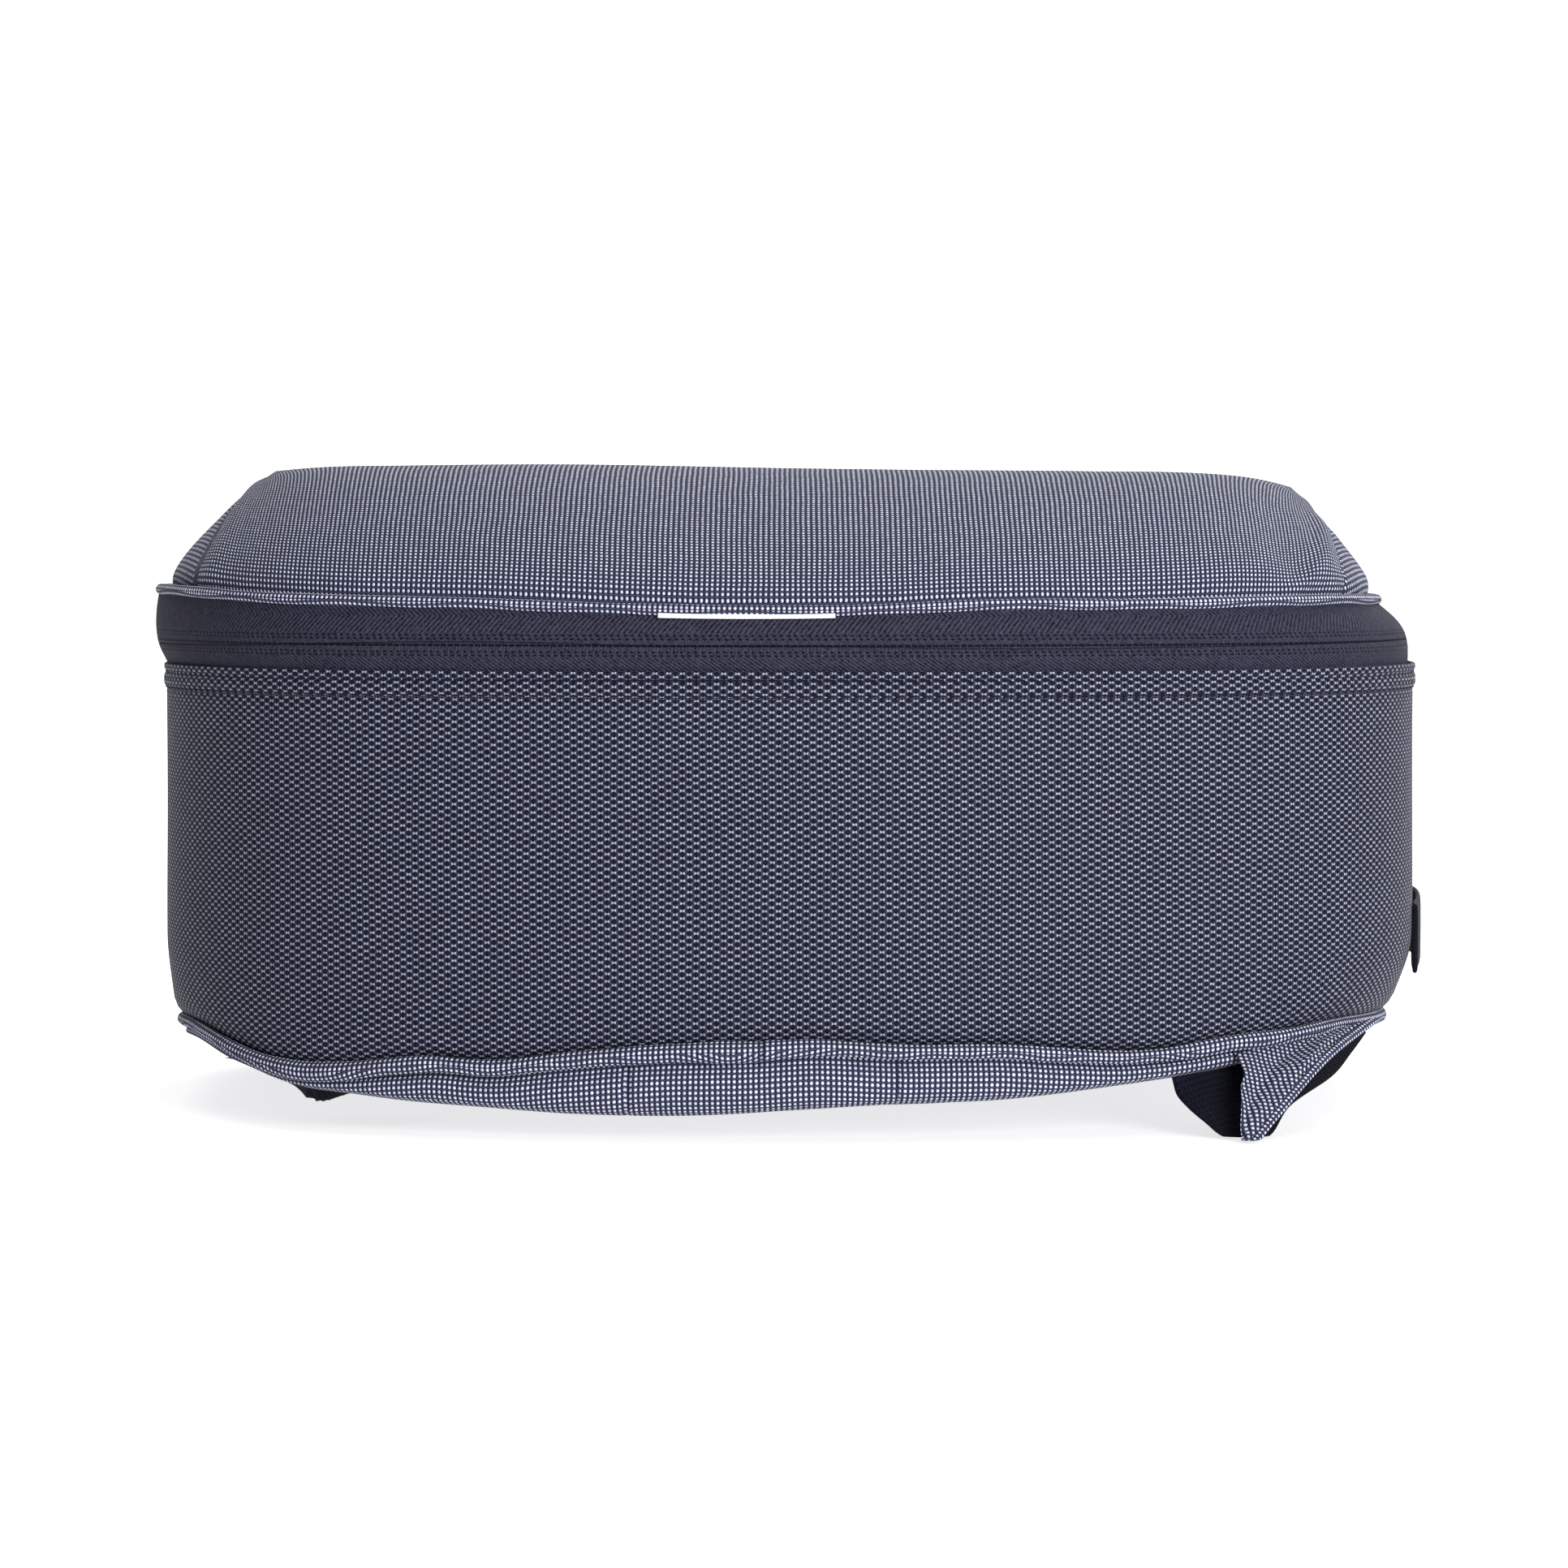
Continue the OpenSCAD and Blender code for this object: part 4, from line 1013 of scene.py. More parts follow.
def base_skin(s):
    """Points of the base cloth: its profile from behind the piping over the rounded limb and in under the cube,
    lifted where the corners curl up, then straight in to the middle of the bottom."""
    walk = run_along(BASE_LINE)
    at = np.concatenate([np.linspace(0, 16, 26), np.linspace(17, walk[-1], 34)])
    kernel = np.array([1, 2, 3, 2, 1]) / 9
    out, z = (np.convolve(np.pad(np.interp(at, walk, k), 2, "edge"), kernel, "valid")[:, None] for k in BASE_LINE.T)
    fade = base_fade(out)
    top = PIPING_Z - 1.2 + piping_rise(s)
    limb = BASE_EDGE + base_lift(s)
    z = np.where(z > BASE_EDGE, limb + (z - BASE_EDGE) * (top - limb) / (BASE_LINE[0, 1] - BASE_EDGE),
                 z + base_lift(s) * fade)
    # The left anchor, folded in, presses a shallow hollow into the underside
    z = z + 3.8 * ease((-out - 5) / 6) * (1 - ease((-out - 44) / 16)) * bell(ahead(s), -122, 46)
    out = out + foot_in(s, out) + ripple(s, z, 0.6) * fade
    x, y = plan(s, out)
    # Two quilted channels run from the piping in under the front, the left one deeper
    channel = (bell(x, -37.3, 0.6) + 0.7 * bell(x, 24.4, 0.45)) * (y < 0)
    x, y = plan(s, out - 1.2 * channel * fade)
    return lifted(closed_in(np.stack([x, y, z + 0.8 * channel * (1 - fade)], -1), 12, 3))


class CUBE_OT_base(bpy.types.Operator):
    """Sews the shallow base panel with its two quilted channels, and the wandering piping above it"""

    bl_idname = "cube.base"
    bl_label = "Base and piping"

    def execute(self, context):
        # Columns crowd together round the two channels
        near = [FRONT_S + at + np.linspace(-2.4, 2.4, 25) for at in (-37.5, 24.5)]
        s = np.unique(np.concatenate([whole(720), *near]))
        points = base_skin(s)
        moved = swell("base_pad", points[::-1], 181, 30, 0.5, held=points[::-1, :, 2] < 1.0)[::-1]
        points = lifted(points + moved)
        run = run_across(points)
        cloth = np.stack([np.broadcast_to(s, run.shape), -run], -1)
        # Past the edge the cloth lies flat: its threads run straight across the bottom
        flat = ease((run - 24) / 2)[..., None]
        straight = np.concatenate([points[..., :1] + FRONT_S, -points[..., 1:2] - 130.0], -1)
        cloth = cloth * (1 - flat) + straight * flat
        panel = thicken(grid("base_panel_cloth", points[::-1, :-1], cloth[::-1], base_cloth, around=True), 0.9)
        sewn(panel, "base", "two_tone_fabric", "base_panel", "base_foam")

        # The piping's two ends overlap at the front, where its columns crowd: the right one lies over the left one
        lap = -6.2
        s = np.unique(np.concatenate([whole(900), FRONT_S + lap + np.linspace(-0.3, 1.0, 14)]))
        a = ahead(s)
        over = ease((a - lap) / 0.7) * (1 - ease((a - 4) / 30))
        under = (1 - ease((a - lap) / 0.7)) * ease((a + 40) / 30)
        out, z = round_section(0.4 + piping_foot(s) + 0.75 * over - 0.5 * under,
                               PIPING_Z + piping_rise(s) + 0.25 * over,
                               piping_radius(s) * (1 + 0.05 * over - 0.08 * under), 24)
        tube = belt("base_piping_cloth", s, out, z, base_cloth, closed=True, slide=False)
        sewn(tube, "base", "two_tone_fabric", "base_piping", "base_piping_cord")
        return {"FINISHED"}


class CUBE_OT_lid(bpy.types.Operator):
    """Sews the padded lid with its two end seams and the folded piping round its edge"""

    bl_idname = "cube.lid"
    bl_label = "Lid"

    def execute(self, context):
        points, cloth, off, rise, a = lid_grid(520, 76)
        face = unit(np.cross(np.gradient(points, axis=1), np.gradient(points, axis=0)))
        is_front = (np.arange(len(points)) <= len(points) // 2)[:, None]
        middle = ease(rise / 0.12) * (1 - ease((rise - 0.9) / 0.1))
        # End seams sink in between two puffed panels; the right shoulder is creased beside its seam
        groove = 0.5 * bell(off, 0, 0.8) * ease(rise / 0.05) * (1 - ease((rise - 0.9) / 0.08))
        puff = (0.2 + 0.5 * (off * a < 0)) * bell(np.abs(off), 8, 6) * middle
        inner = -off * np.sign(a)
        waves = (1.5 * bell(inner, 11 + 60 * (rise - 0.55) ** 2, 6) - 1.0 * bell(inner, 27 + 30 * (rise - 0.4), 8)
                 + 0.5 * bell(inner, 46, 10) * np.sin(rise * 6.3))
        crease = (a > 0) * is_front * middle * (1 - 0.8 * ease((rise - 0.6) / 0.3)) * waves
        slow = ripple(points[..., 0] * 0.6, points[..., 1] * 0.5) * ease(rise / 0.2) * (1 - ease((rise - 0.86) / 0.12))
        points = points + swell("lid_pad", points, 131, 40, 0.5)
        points = points + face * (puff + crease + slow - groove)[..., None]
        # The front hangs over its seam in the middle
        belly = look().lid_belly / MM * (1 - ease((np.abs(a + 8) - 40) / 90)) * is_front
        points[..., 1] -= belly * bell(rise, 0.06, 0.09)
        points[..., 2] -= belly * 0.75 * bell(rise, 0.0, 0.07)
        points[..., 0] = lid_place(points[..., 0], points[..., 2])
        lid = thicken(grid("lid_shell", points, cloth, lid_cloth), 0.9)
        sewn(lid, "lid", "two_tone_fabric", "lid_cover", "lid_end_left", "lid_end_right", "lid_foam")

        s = whole(900)
        out, z = round_section(-0.95 + 0.4 * ease((-ahead(s) - 150) / 40) * frontal(s),
                               SEAM_Z + 1.3 + 0.12 * np.sin(s / 13.0), 1.28 + 0.05 * np.sin(s / 5.1), 16)
        welt = belt("lid_piping_cloth", s, out, z, base_cloth, closed=True)
        sewn(welt, "lid", "two_tone_fabric", "lid_piping")
        return {"FINISHED"}


def zip_out(s, z):
    """How far the zip band stands out at a height: it bows out between the wall's hem and the lid's seam, most at
    the right end, but stays flat along the back."""
    a = ahead(s)
    bow = look().zip_bulge / MM + 2.5 * ease((a - 100) / 90) - 0.3 * ease((-a - 110) / 60)
    share = np.clip((z - 104.5) / 19.0, 0, 1) ** (1 + 0.5 * ease((a - 100) / 90))
    lip = 1.2 * ease((-a - 150) / 50) * ease((z - 103) / 14)
    return TAPE_OUT + (bow * np.sin(np.pi * share) + lip) * frontal(s)


def coil(name, low, high, z_side):
    """A flattened spiral of nylon wire behind the tape: at the turn w it stands z_side * (1.35 + 1.15 cos w) from
    the middle of the zip and 0.75 sin w in and out, and moves one pitch along for each turn."""
    wire, sides, per = 0.3, 5, 8
    w = np.arange(int((high - low) / COIL_PITCH) * per + 1) / per * 2 * np.pi
    run = low + w / (2 * np.pi) * COIL_PITCH
    z = ZIP_Z + z_side * (1.35 + 1.15 * np.cos(w))
    out = zip_out(run, ZIP_Z) - TAPE_T - 1.1 + 0.75 * np.sin(w)
    x, y = plan(run, out)
    centre = np.stack([lid_place(x, z), y, sag(run, z)], -1)
    along = unit(np.gradient(centre, axis=0))
    far_x, far_y = plan(run, out + 1)
    side = unit(np.cross(along, np.stack([far_x - x, far_y - y, np.zeros_like(x)], -1)))
    q = turn_steps(sides)
    points = ring_along(centre, side, np.cross(side, along), wire * np.cos(q), wire * np.sin(q))
    return grid(name, points, tube_cloth(run, np.arange(sides + 1) * 0.4), coil_plastic, across=True)


def flat_band(name, s, out, z, thick, maker, **more):
    """A ribbon of the thickness thick: its outer face follows out and z, its inner face runs back behind it, and
    its two edges are rounded off by half a thickness."""
    out, z = (np.broadcast_to(k, (max(len(out), len(z)), len(s))) for k in (out, z))
    both = np.concatenate([out, out[-1:] - thick / 2, (out - thick)[::-1], out[:1] - thick / 2])
    edge = 0.06 * np.sign(z[-1:] - z[:1] + 1e-9)
    heights = np.concatenate([z, z[-1:] + edge, z[::-1], z[:1] - edge])
    return belt(name, s, both, heights, maker, closed=True, **more)


def tape(name, s, low, high, rows):
    """A zip tape between two heights, whose cloth coordinates count up from the middle of the zip."""
    z = np.linspace(low, high, rows)[:, None]
    piece = flat_band(name, s, zip_out(s, z), z, TAPE_T, tape_cloth)
    mesh = piece.data
    uv = np.zeros(len(mesh.loops) * 2, np.float32)
    co = np.zeros(len(mesh.vertices) * 3, np.float32)
    at = np.zeros(len(mesh.loops), np.int32)
    mesh.uv_layers["cloth"].data.foreach_get("uv", uv)
    mesh.vertices.foreach_get("co", co)
    mesh.loops.foreach_get("vertex_index", at)
    uv[1::2] = co.reshape(-1, 3)[at, 2] - ZIP_Z * MM
    mesh.uv_layers["cloth"].data.foreach_set("uv", uv)
    return piece


class CUBE_OT_zip(bpy.types.Operator):
    """Runs the two zip tapes and their coils round the cube, and sews in the hinge strip at the back"""

    bl_idname = "cube.zip"
    bl_label = "Zip and hinge"

    def execute(self, context):
        start, gap = STOP_X + 2, 0.1
        s = np.linspace(STOP_X + 0.3, LENGTH - STOP_X - 0.3, 700)
        sewn(tape("zip_tape_lower_cloth", s, TAPE_LOW, ZIP_Z - gap, 22), "base", "zip_tape", "zip_tape_lower")
        s = np.linspace(REAR_CX, LENGTH - REAR_CX, 640)
        sewn(tape("zip_tape_upper_cloth", s, ZIP_Z + gap, SEAM_Z + 0.6, 20), "lid", "zip_tape", "zip_tape_upper")
        wires = [("zip_coil_lower_wire", start, LENGTH - start, -1, "base", "zip_coil_lower"),
                 ("zip_coil_upper_wire", REAR_CX, LENGTH - REAR_CX, 1, "lid", "zip_coil_upper")]
        # The upper tape's tails beside the hinge stay on the base and reach 2 mm past their coils
        for side, first, last in (("left", start, TAIL_X), ("right", LENGTH - TAIL_X, LENGTH - start)):
            s = np.linspace(first - 2 * (side == "left"), last + 2 * (side == "right"), 60)
            tail = tape("zip_tail_" + side, s, ZIP_Z + 0.3, HINGE_TOP + 1.4, 12)
            sewn(tail, "base", "zip_tape", "zip_tape_tail_" + side)
            wires.append(("zip_coil_tail_wire_" + side, first, last, 1, "base", "zip_coil_tail_" + side))
        for name, first, last, z_side, body, node in wires:
            sewn(coil(name, first, last, z_side), body, "zip_coil", node)

        # Hinge: a strip of wall cloth that bends between the base and the lid
        s = np.linspace(-STOP_X - 0.6, STOP_X + 3.2, 66)
        z = np.linspace(TAPE_LOW, SEAM_Z + 0.5, 40)[:, None]
        out = TAPE_OUT - 0.1 + 0.5 * np.sin(np.pi * np.clip((z - 107) / 14, 0, 1)) + 0.06 * np.sin(s / 3.0)
        out = out - 1.6 * ease((np.abs(s) - STOP_X + 2) / 2)
        strip = flat_band("hinge_cloth", s, out, z, 0.8, wall_cloth, slide=False)
        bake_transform(strip)
        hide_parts("hinge_strip")
        return {"FINISHED"}


class CUBE_OT_metal(bpy.types.Operator):
    """Finishes the sliders, pulls and stops, whose nodes keep their own shape"""

    bl_idname = "cube.metal"
    bl_label = "Sliders and pulls"

    def execute(self, context):
        for node in ("slider_left", "slider_right", "pull_left", "pull_right", "zip_stop_left", "zip_stop_right"):
            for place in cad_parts[node].material_slots:
                place.material = material(slider_metal)
        return {"FINISHED"}


class CUBE_OT_label(bpy.types.Operator):
    """Sews the blank label into the lid's seam"""

    bl_idname = "cube.label"
    bl_label = "Blank label"

    def execute(self, context):
        low, high = node_box("label_blank")
        s = FRONT_S + np.linspace(low[0], high[0], 70) - look().lid_shift / MM
        z = low[2] + 1.95 + column(0, 0.15, 0.5, 0.9, 1.4, 2.0, 2.6)
        out = zip_out(s, z) + 1.35 + 0.35 * np.sin(s / 9.0) * (1 - (z - low[2]) / 4.5)
        sewn(flat_band("label_cloth_blank", s, out, z, 0.45, label_cloth), "lid", "label", "label_blank")
        return {"FINISHED"}


def strap(name, centre, outward, across, thick, maker):
    """Webbing along a line of points: a flat section, across wide and thick deep with rounded edges, whose faces
    look outward; rows run round the section, columns along the line."""
    q = turn_steps(20)
    wide = across / 2 * np.sign(np.cos(q)) * np.abs(np.cos(q)) ** 0.35
    deep = thick / 2 * np.sign(np.sin(q)) * np.abs(np.sin(q)) ** 0.5
    up = unit(np.cross(unit(np.gradient(centre, axis=0)), outward))
    points = ring_along(centre, up, outward, wide, deep)
    cloth = tube_cloth(run_along(centre), np.append(wide + deep, wide[0] + deep[0]))
    return closed(grid(name, points[::-1], cloth[::-1], maker, across=True))


class CUBE_OT_handle(bpy.types.Operator):
    """Sews on the webbing handle: its ends stay on the wall and its middle pulls out"""

    bl_idname = "cube.handle"
    bl_label = "Side handle"

    def execute(self, context):
        low, high = node_box("handle_grip")
        first, last = node_box("handle_patch_front"), node_box("handle_patch_rear")
        mid_z, wide = (low[2] + high[2]) / 2, (high[2] - low[2]) * 0.93
        y = np.linspace(first[0][1], last[1][1], 150)
        # The wall's own curve under the strap: an arc, a straight run and another arc
        front_x = CORNER_CX + np.sqrt(np.maximum(CORNER_R**2 - (y - CORNER_CY) ** 2, 0))
        rear_x = REAR_CX + np.sqrt(REAR_R**2 - np.maximum(y - REAR_CY, 0) ** 2)
        wall_x = np.where(y < CORNER_CY, front_x, np.where(y > REAR_CY, rear_x, HALF_W))
        share = np.clip((y - first[1][1]) / (last[0][1] - first[1][1]), 0, 1)
        bow = np.sin(np.pi * share) ** 0.85
        x = np.maximum(wall_x + 0.95, (wall_x + 0.95) * (1 - bow) + (high[0] - 1.6) * bow)
        centre = np.stack([x, y, mid_z + 0.5 * np.sin(y / 21.0)], -1)
        tangent = np.gradient(centre, axis=0)
        outward = unit(np.stack([tangent[:, 1], -tangent[:, 0], np.zeros_like(y)], -1))
        half = len(y) // 2
        for name, part, node, start, end in (
            ("handle_strap_front", slice(0, half + 1), "handle_patch_front", y[14], y[half] - 4),
            ("handle_strap_rear", slice(half, None), "handle_patch_rear", y[-14], y[half] + 4),
        ):
            piece = strap(name, centre[part], outward[part], wide, 1.5, webbing_cloth)
            start * MM
            end * MM
            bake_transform(piece)
            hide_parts(node, "handle_grip")
        return {"FINISHED"}


# Where an anchor's seam lies: side, how far out from the corner, height, fold in degrees and hand
ANCHORS = (("right", 4.2, 17.0, 49.0, 1.0), ("left", 3.0, 6.5, 170.0, -1.0))
ANCHOR_TURN = math.radians(40.5)
# Run of the left anchor's middle from the middle of the front; how far a wing's weave is turned from its seam
ANCHOR_AHEAD, GRAIN = -134, math.radians(24)


def on_corner(points, out, z, fold, hand):
    """Places a shape drawn with its seam along x and its reach along -y: folds it about its seam, turns it to the
    corner and puts it on the corner's arc."""
    f, t = math.radians(fold), ANCHOR_TURN
    x, y, w = points[..., 0], points[..., 1], points[..., 2]
    y, w = y * math.cos(f) - w * math.sin(f), y * math.sin(f) + w * math.cos(f)
    x, y = x * math.cos(t) - y * math.sin(t), x * math.sin(t) + y * math.cos(t)
    r = CORNER_R + out
    return np.stack([hand * (x + CORNER_CX + r * math.sin(t)), y + CORNER_CY - r * math.cos(t), w + z], -1)


def ruled(u, v, low, high):
    """Surface between two smooth lines through evenly spaced knots: u runs along them, v from low to high."""
    one, two = (np.stack([through(u, *zip(np.linspace(0, 1, len(knots)), k)) for k in zip(*knots)], -1)
                for knots in (low, high))
    return one * (1 - v[..., None]) + two * v[..., None]


class CUBE_OT_anchors(bpy.types.Operator):
    """Sews on the two strap anchors: a folded triangle of base cloth with doubled webbing behind it. The right one
    hangs loose and creased; the left one is folded in and lies close under the base"""

    bl_idname = "cube.anchors"
    bl_label = "Strap anchors"

    def execute(self, context):
        for side, *anchor in ANCHORS:
            self.hem(side, anchor, self.wing(side, anchor))
            self.webbing(side, anchor)
        return {"FINISHED"}

    def wing(self, side, anchor):
        """The triangle of cloth: a surface between its seam and its long edge, creased by three sine waves across
        each other. Returns the line of its long edge."""
        u, v = np.meshgrid(np.linspace(0, 1, 90), np.linspace(0, 1, 56))
        flat = ruled(u, v, ((-22.4, 5.6, -4.0), (0.6, 6.6, -1.2), (22.5, 9.6, 0.0)),
                     ((-35.3, -20.4, -3.4), (-5.5, -3.3, 2.5), (22.5, 8.9, 0.0)))
        free = (1 - u) ** 2
        edge = through(v, (0, 0), (0.06, 0.2), (0.18, 0.8), (0.29, 0.2), (0.375, -1.5), (0.54, -2.2), (0.7, -2.3),
                       (0.86, -2.1), (0.97, -1.8), (1, 0))
        flat[..., 0] += edge * free * 0.9
        crease = (0.9 * np.sin(9.0 * u + 6.0 * v) + 0.6 * np.sin(19 * u - 11 * v + 1) * v
                  + 0.35 * np.sin(31 * u + 17 * v + 2) * v) * np.sin(np.pi * np.clip(v, 0.03, 0.97)) ** 0.6
        flat[..., 2] += crease * (1 - u * 0.6) + 1.6 * bell(v, 0.55, 0.3) * free
        points = self.place(flat, 0.6, anchor)
        cloth = np.stack([flat[..., 0] * math.cos(GRAIN) - flat[..., 1] * math.sin(GRAIN),
                          flat[..., 0] * math.sin(GRAIN) + flat[..., 1] * math.cos(GRAIN)], -1) + 60
        loose = side == "right"
        if not loose:
            points, cloth = points[:, ::-1], cloth[:, ::-1]
        wing = thicken(grid("wing_cloth_" + side, points[::-1], cloth[::-1], base_cloth), 0.8, 0.0)
        ends = ((0, 4.0, -2.0), (0, -1.5, -2.0)) if loose else ((0, -5.5, 0), (0, -13.0, 0))
        root, far = (tuple(on_corner(np.array(p), *anchor) * MM) for p in ends)
        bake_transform(wing)
        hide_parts("wing_" + side)
        return flat[-1]

    def hem(self, side, anchor, line):
        """The rolled hem along the long edge: a tube 2 wide and 1.6 deep that thins out towards its ends."""
        line = line + [0, 0, 0.1]
        along = np.linspace(0, 1, len(line))
        across = np.cross(unit(np.gradient(line, axis=0)), [0, 0, 1.0])
        above = np.cross(across, unit(np.gradient(line, axis=0)))
        size = (0.55 + 0.45 * ease(along / 0.05) * ease((1 - along) / 0.1))[:, None]
        q = turn_steps(12)
        points = self.place(ring_along(line, size * across, size * above, np.cos(q), 0.8 * np.sin(q)), 0.9, anchor)
        cloth = tube_cloth(run_along(line), np.arange(13) * 0.5)
        roll = closed(grid("wing_hem_" + side, points, cloth, base_cloth, across=True))
        sewn(roll, side + "_anchor", "two_tone_fabric")

    def webbing(self, side, anchor):
        """Webbing, doubled behind the cloth, that shows past the wing's free edge."""
        u, v = np.meshgrid(np.linspace(0, 1, 70), np.linspace(0, 1, 30))
        flat = ruled(u, v, ((-33.4, 6.4, -14.7), (-34.0, 3.2, -15.0), (-34.2, -1.6, -13.7), (-34.0, -7.0, -11.6),
                            (-33.2, -12.0, -9.9), (-29.5, -16.4, -7.6), (-23.5, -15.8, -5.2), (-15.6, -10.2, -2.6),
                            (0.6, -4.5, -0.6), (12.5, 2.2, -1.5), (22.1, 8.0, -2.4)),
                     ((-35.4, 10.3, -11.9), (-20, 8.4, -9.6), (0.6, 6.2, -6.8), (22.7, 9.2, -3.6)))
        flat[..., 2] += 0.3 * np.sin(6 * u + 2 * v) * np.sin(np.pi * v) - 0.9
        points, cloth = self.place(flat, 1.9, anchor, 5.0), flat[..., :2]
        if side == "left":
            points, cloth = points[:, ::-1], cloth[:, ::-1]
        web = thicken(grid("webbing_cloth_" + side, points, cloth, webbing_cloth), 1.3, 0.0)
        sewn(web, side + "_anchor", "webbing", "webbing_" + side)

    def place(self, flat, layer, anchor, drop=0.0):
        """Puts a pattern on its corner. The left one is pressed flat and follows the base's underside at the depth
        layer below it, whose height is the mean of the nearest points of the base, weighted by 1 / distance^4. A
        loop of it hangs lower by drop, and its sewn edge rises inside the base cloth into the piping."""
        if anchor[-1] > 0:
            return lifted(on_corner(flat, *anchor), 0.8)
        along, reach = (flat[..., 0] + 9) * 0.68, 7.5 - flat[..., 1]
        inward = 5.0 + np.clip(reach, 0, 30) + 14.0 * ease(reach / 10) + along**2 / (1.4 * CORNER_R)
        points = on_corner(np.stack([along, -inward, flat[..., 2] * 0.1], -1), *anchor)
        skin = base_skin(np.linspace(FRONT_S - 190, FRONT_S - 60, 120))[28:66:2].reshape(-1, 3)
        shape = points.shape
        points = points.reshape(-1, 3)
        near = 1 / (((points[:, None, :2] - skin[None, :, :2]) ** 2).sum(-1) + 0.5) ** 2
        height = (near * skin[None, :, 2]).sum(1) / near.sum(1) - layer
        foot, rise = piping_foot(FRONT_S + ANCHOR_AHEAD), piping_rise(FRONT_S + ANCHOR_AHEAD)
        depth = CORNER_R - np.hypot(points[:, 0] + CORNER_CX, points[:, 1] - CORNER_CY) + foot
        height -= drop * bell(points[:, 0], -111.5, 8.0) * ease((depth - 4) / 6)
        under = ease((depth - 3) / 7)
        points[:, 2] = height * under + (PIPING_Z + rise - 1) * (1 - under)
        return lifted(points, 0.5).reshape(shape)


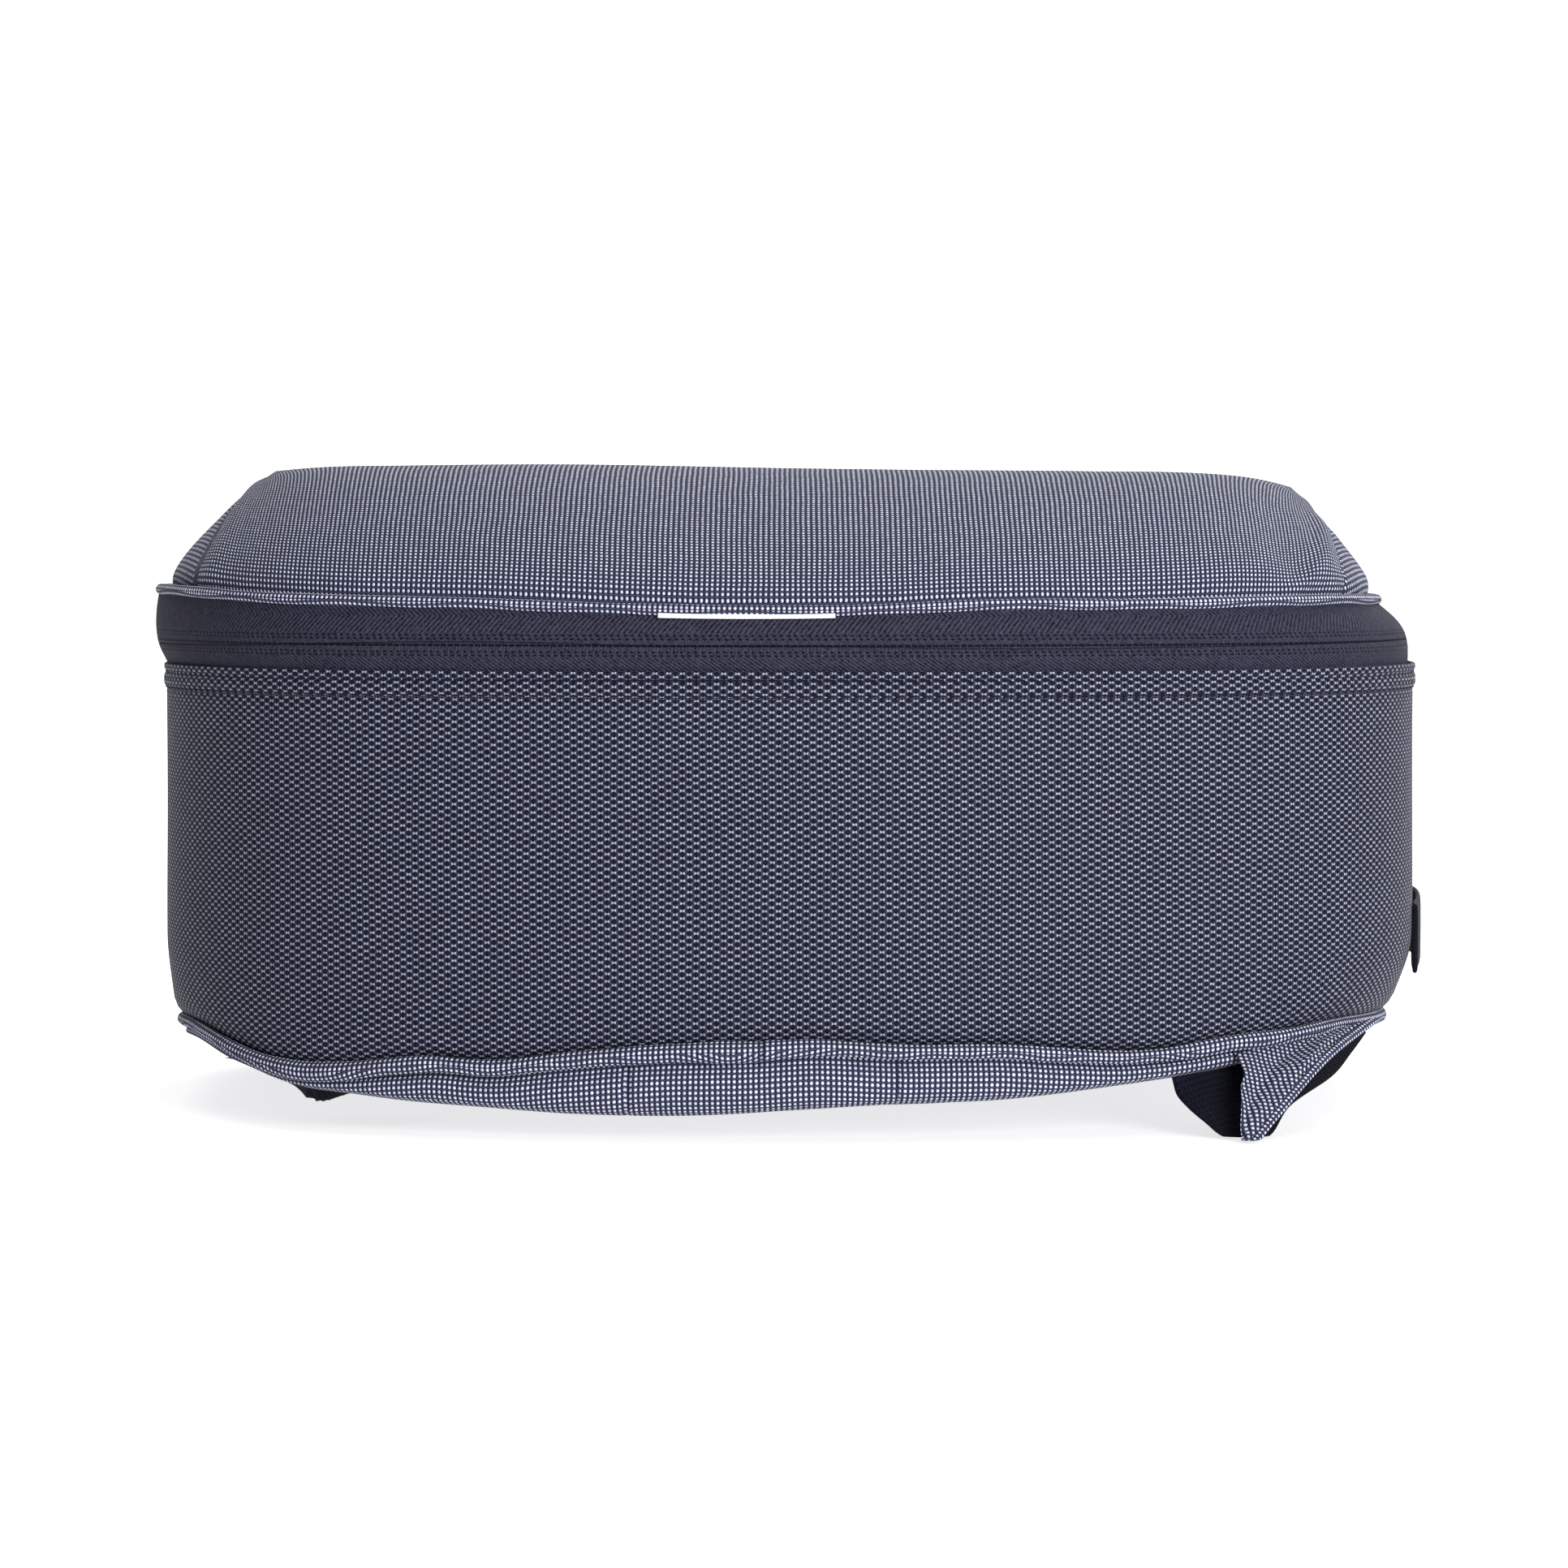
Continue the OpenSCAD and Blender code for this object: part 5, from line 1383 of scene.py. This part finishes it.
class CUBE_OT_inside(bpy.types.Operator):
    """Lines the cube: taffeta over the wall, base and lid, ribbon over every raw edge"""

    bl_idname = "cube.inside"
    bl_label = "Lining and ribbons"

    def execute(self, context):
        s = whole(360)
        z = np.linspace(BASE_TOP + 1, RIM_Z - 2, 30)[:, None]
        out = LINING_OUT + 0.5 * ripple(s, z) + wall_foot(s) * ease((42 - z) / 24) - 1.8 * ease((32 - z) / 12)
        wall = belt("wall_lining_cloth", s, out, z, lining_cloth, slide=False, flip=True)
        sewn(wall, "base", "lining_fabric", "wall_lining")

        # The base's lining stays clear of the curled base cloth below it
        out, z = np.array([(-6.9, 19.5), (-7.4, 17.5), (-8.6, 15.2), (-11.0, 12.6), (-14.5, 10.9), (-24.8, 9.4),
                           (-35.2, 8.2), (-45.6, 7.2), (-56.0, 6.7), (-60.0, 6.6)]).T[:, :, None]
        under = np.interp(-out, [0, 4.4, 10, 20, 60], [6.2, 5.5, 4.9, 4.0, 0.5]) + base_lift(s) * base_fade(out)
        z = np.maximum(z, under + 5.8)
        x, y = plan(s, out + foot_in(s, out) - 1.8 + 0.4 * ripple(s, z))
        points = closed_in(np.stack([x, y, z], -1), 14, 2, 6.5)
        points[..., 2] += 0.25 * np.sin(points[..., 0] / 14.0) * np.sin(points[..., 1] / 17.0)
        floor = grid("base_lining_cloth", points[:, :-1], points[..., :2] + 150, lining_cloth, around=True)
        sewn(floor, "base", "lining_fabric", "base_lining")

        points = lid_grid(260, 30, deep=5.6)[0][::-1]
        points[..., 0] = lid_place(points[..., 0], points[..., 2])
        points[..., 2] += 0.25 * np.sin(points[..., 0] / 13.0) * np.sin(points[..., 1] / 15.0)
        top = grid("lid_lining_cloth", points, points[..., :2] + 150, lining_cloth)
        sewn(top, "lid", "lining_fabric", "lid_lining")

        # Ribbon folded over the rim: up the lining, over the top and down behind the tape
        s = whole(420)
        out, z = np.array([(-7.3, -6.8), (-7.75, -6.2), (-7.9, -3.0), (-7.8, -0.9), (-7.2, -0.2), (-6.0, 0.1),
                           (-4.0, 0.1), (-2.8, -0.2), (-2.3, -0.8), (-2.4, -3.0), (-4.0, -3.2), (-6.0, -3.2)]
                          )[::-1].T[:, :, None]
        rim = belt("rim_ribbon", s, out + 0.06 * np.sin(s / 2.3), RIM_Z + z, ribbon_cloth, closed=True, slide=False)
        sewn(rim, "base", "ribbon", "rim_binding")
        out, z = np.array([(-9.3, 3.4), (-9.6, 1.5), (-9.0, -0.3), (-7.5, -0.9), (-5.0, -1.0), (-3.2, -0.9),
                           (-2.5, -0.2), (-4.5, 0.4), (-7.6, 1.0)]).T[:, :, None]
        edge = belt("lid_ribbon", s, out + 0.06 * np.sin(s / 2.1), DOME_Z + z, ribbon_cloth, closed=True)
        sewn(edge, "lid", "ribbon", "lid_binding")
        for side in ("left", "right"):
            low, high = node_box("seam_binding_" + side)
            at = END_S + (REAR_CY + CORNER_CY) / 2 - (low[1] + high[1]) / 2
            s = (at if side == "left" else LENGTH - at) + np.linspace(-6, 6, 14)
            z = np.linspace(low[2], high[2] + 2, 40)[:, None]
            out = LINING_OUT - 0.75 + 0.12 * np.sin(z / 2.2)
            ribbon = closed(flat_band("seam_ribbon_" + side, s, out, z, -0.5, ribbon_cloth, slide=False))
            sewn(ribbon, "base", "ribbon", "seam_binding_" + side)
        return {"FINISHED"}


OPERATORS = (CUBE_OT_stage, CUBE_OT_walls, CUBE_OT_base, CUBE_OT_lid, CUBE_OT_zip, CUBE_OT_metal, CUBE_OT_label,
             CUBE_OT_handle, CUBE_OT_anchors, CUBE_OT_inside)


class CUBE_PT_panel(bpy.types.Panel):
    """Lists the settings and the steps of the sewing"""

    bl_idname = "CUBE_PT_panel"
    bl_label = "Packing cube"
    bl_space_type = "VIEW_3D"
    bl_region_type = "UI"
    bl_category = "Packing cube"

    def draw(self, context):
        for setting in CubeLook.__annotations__:
            self.layout.prop(context.scene.cube_look, setting)
        for operator in OPERATORS:
            self.layout.operator(operator.bl_idname)


CLASSES = (CubeLook, *OPERATORS, CUBE_PT_panel)


def register():
    for cls in CLASSES:
        bpy.utils.register_class(cls)
    bpy.types.Scene.cube_look = bpy.props.PointerProperty(type=CubeLook)


def unregister():
    del bpy.types.Scene.cube_look
    for cls in reversed(CLASSES):
        bpy.utils.unregister_class(cls)


def main():
    """Registers the classes, runs each step in order and keeps both boxes."""
    register()
    for operator in OPERATORS:
        group, name = operator.bl_idname.split(".")
        getattr(getattr(bpy.ops, group), name)()


if __name__ == "__main__":
    main()
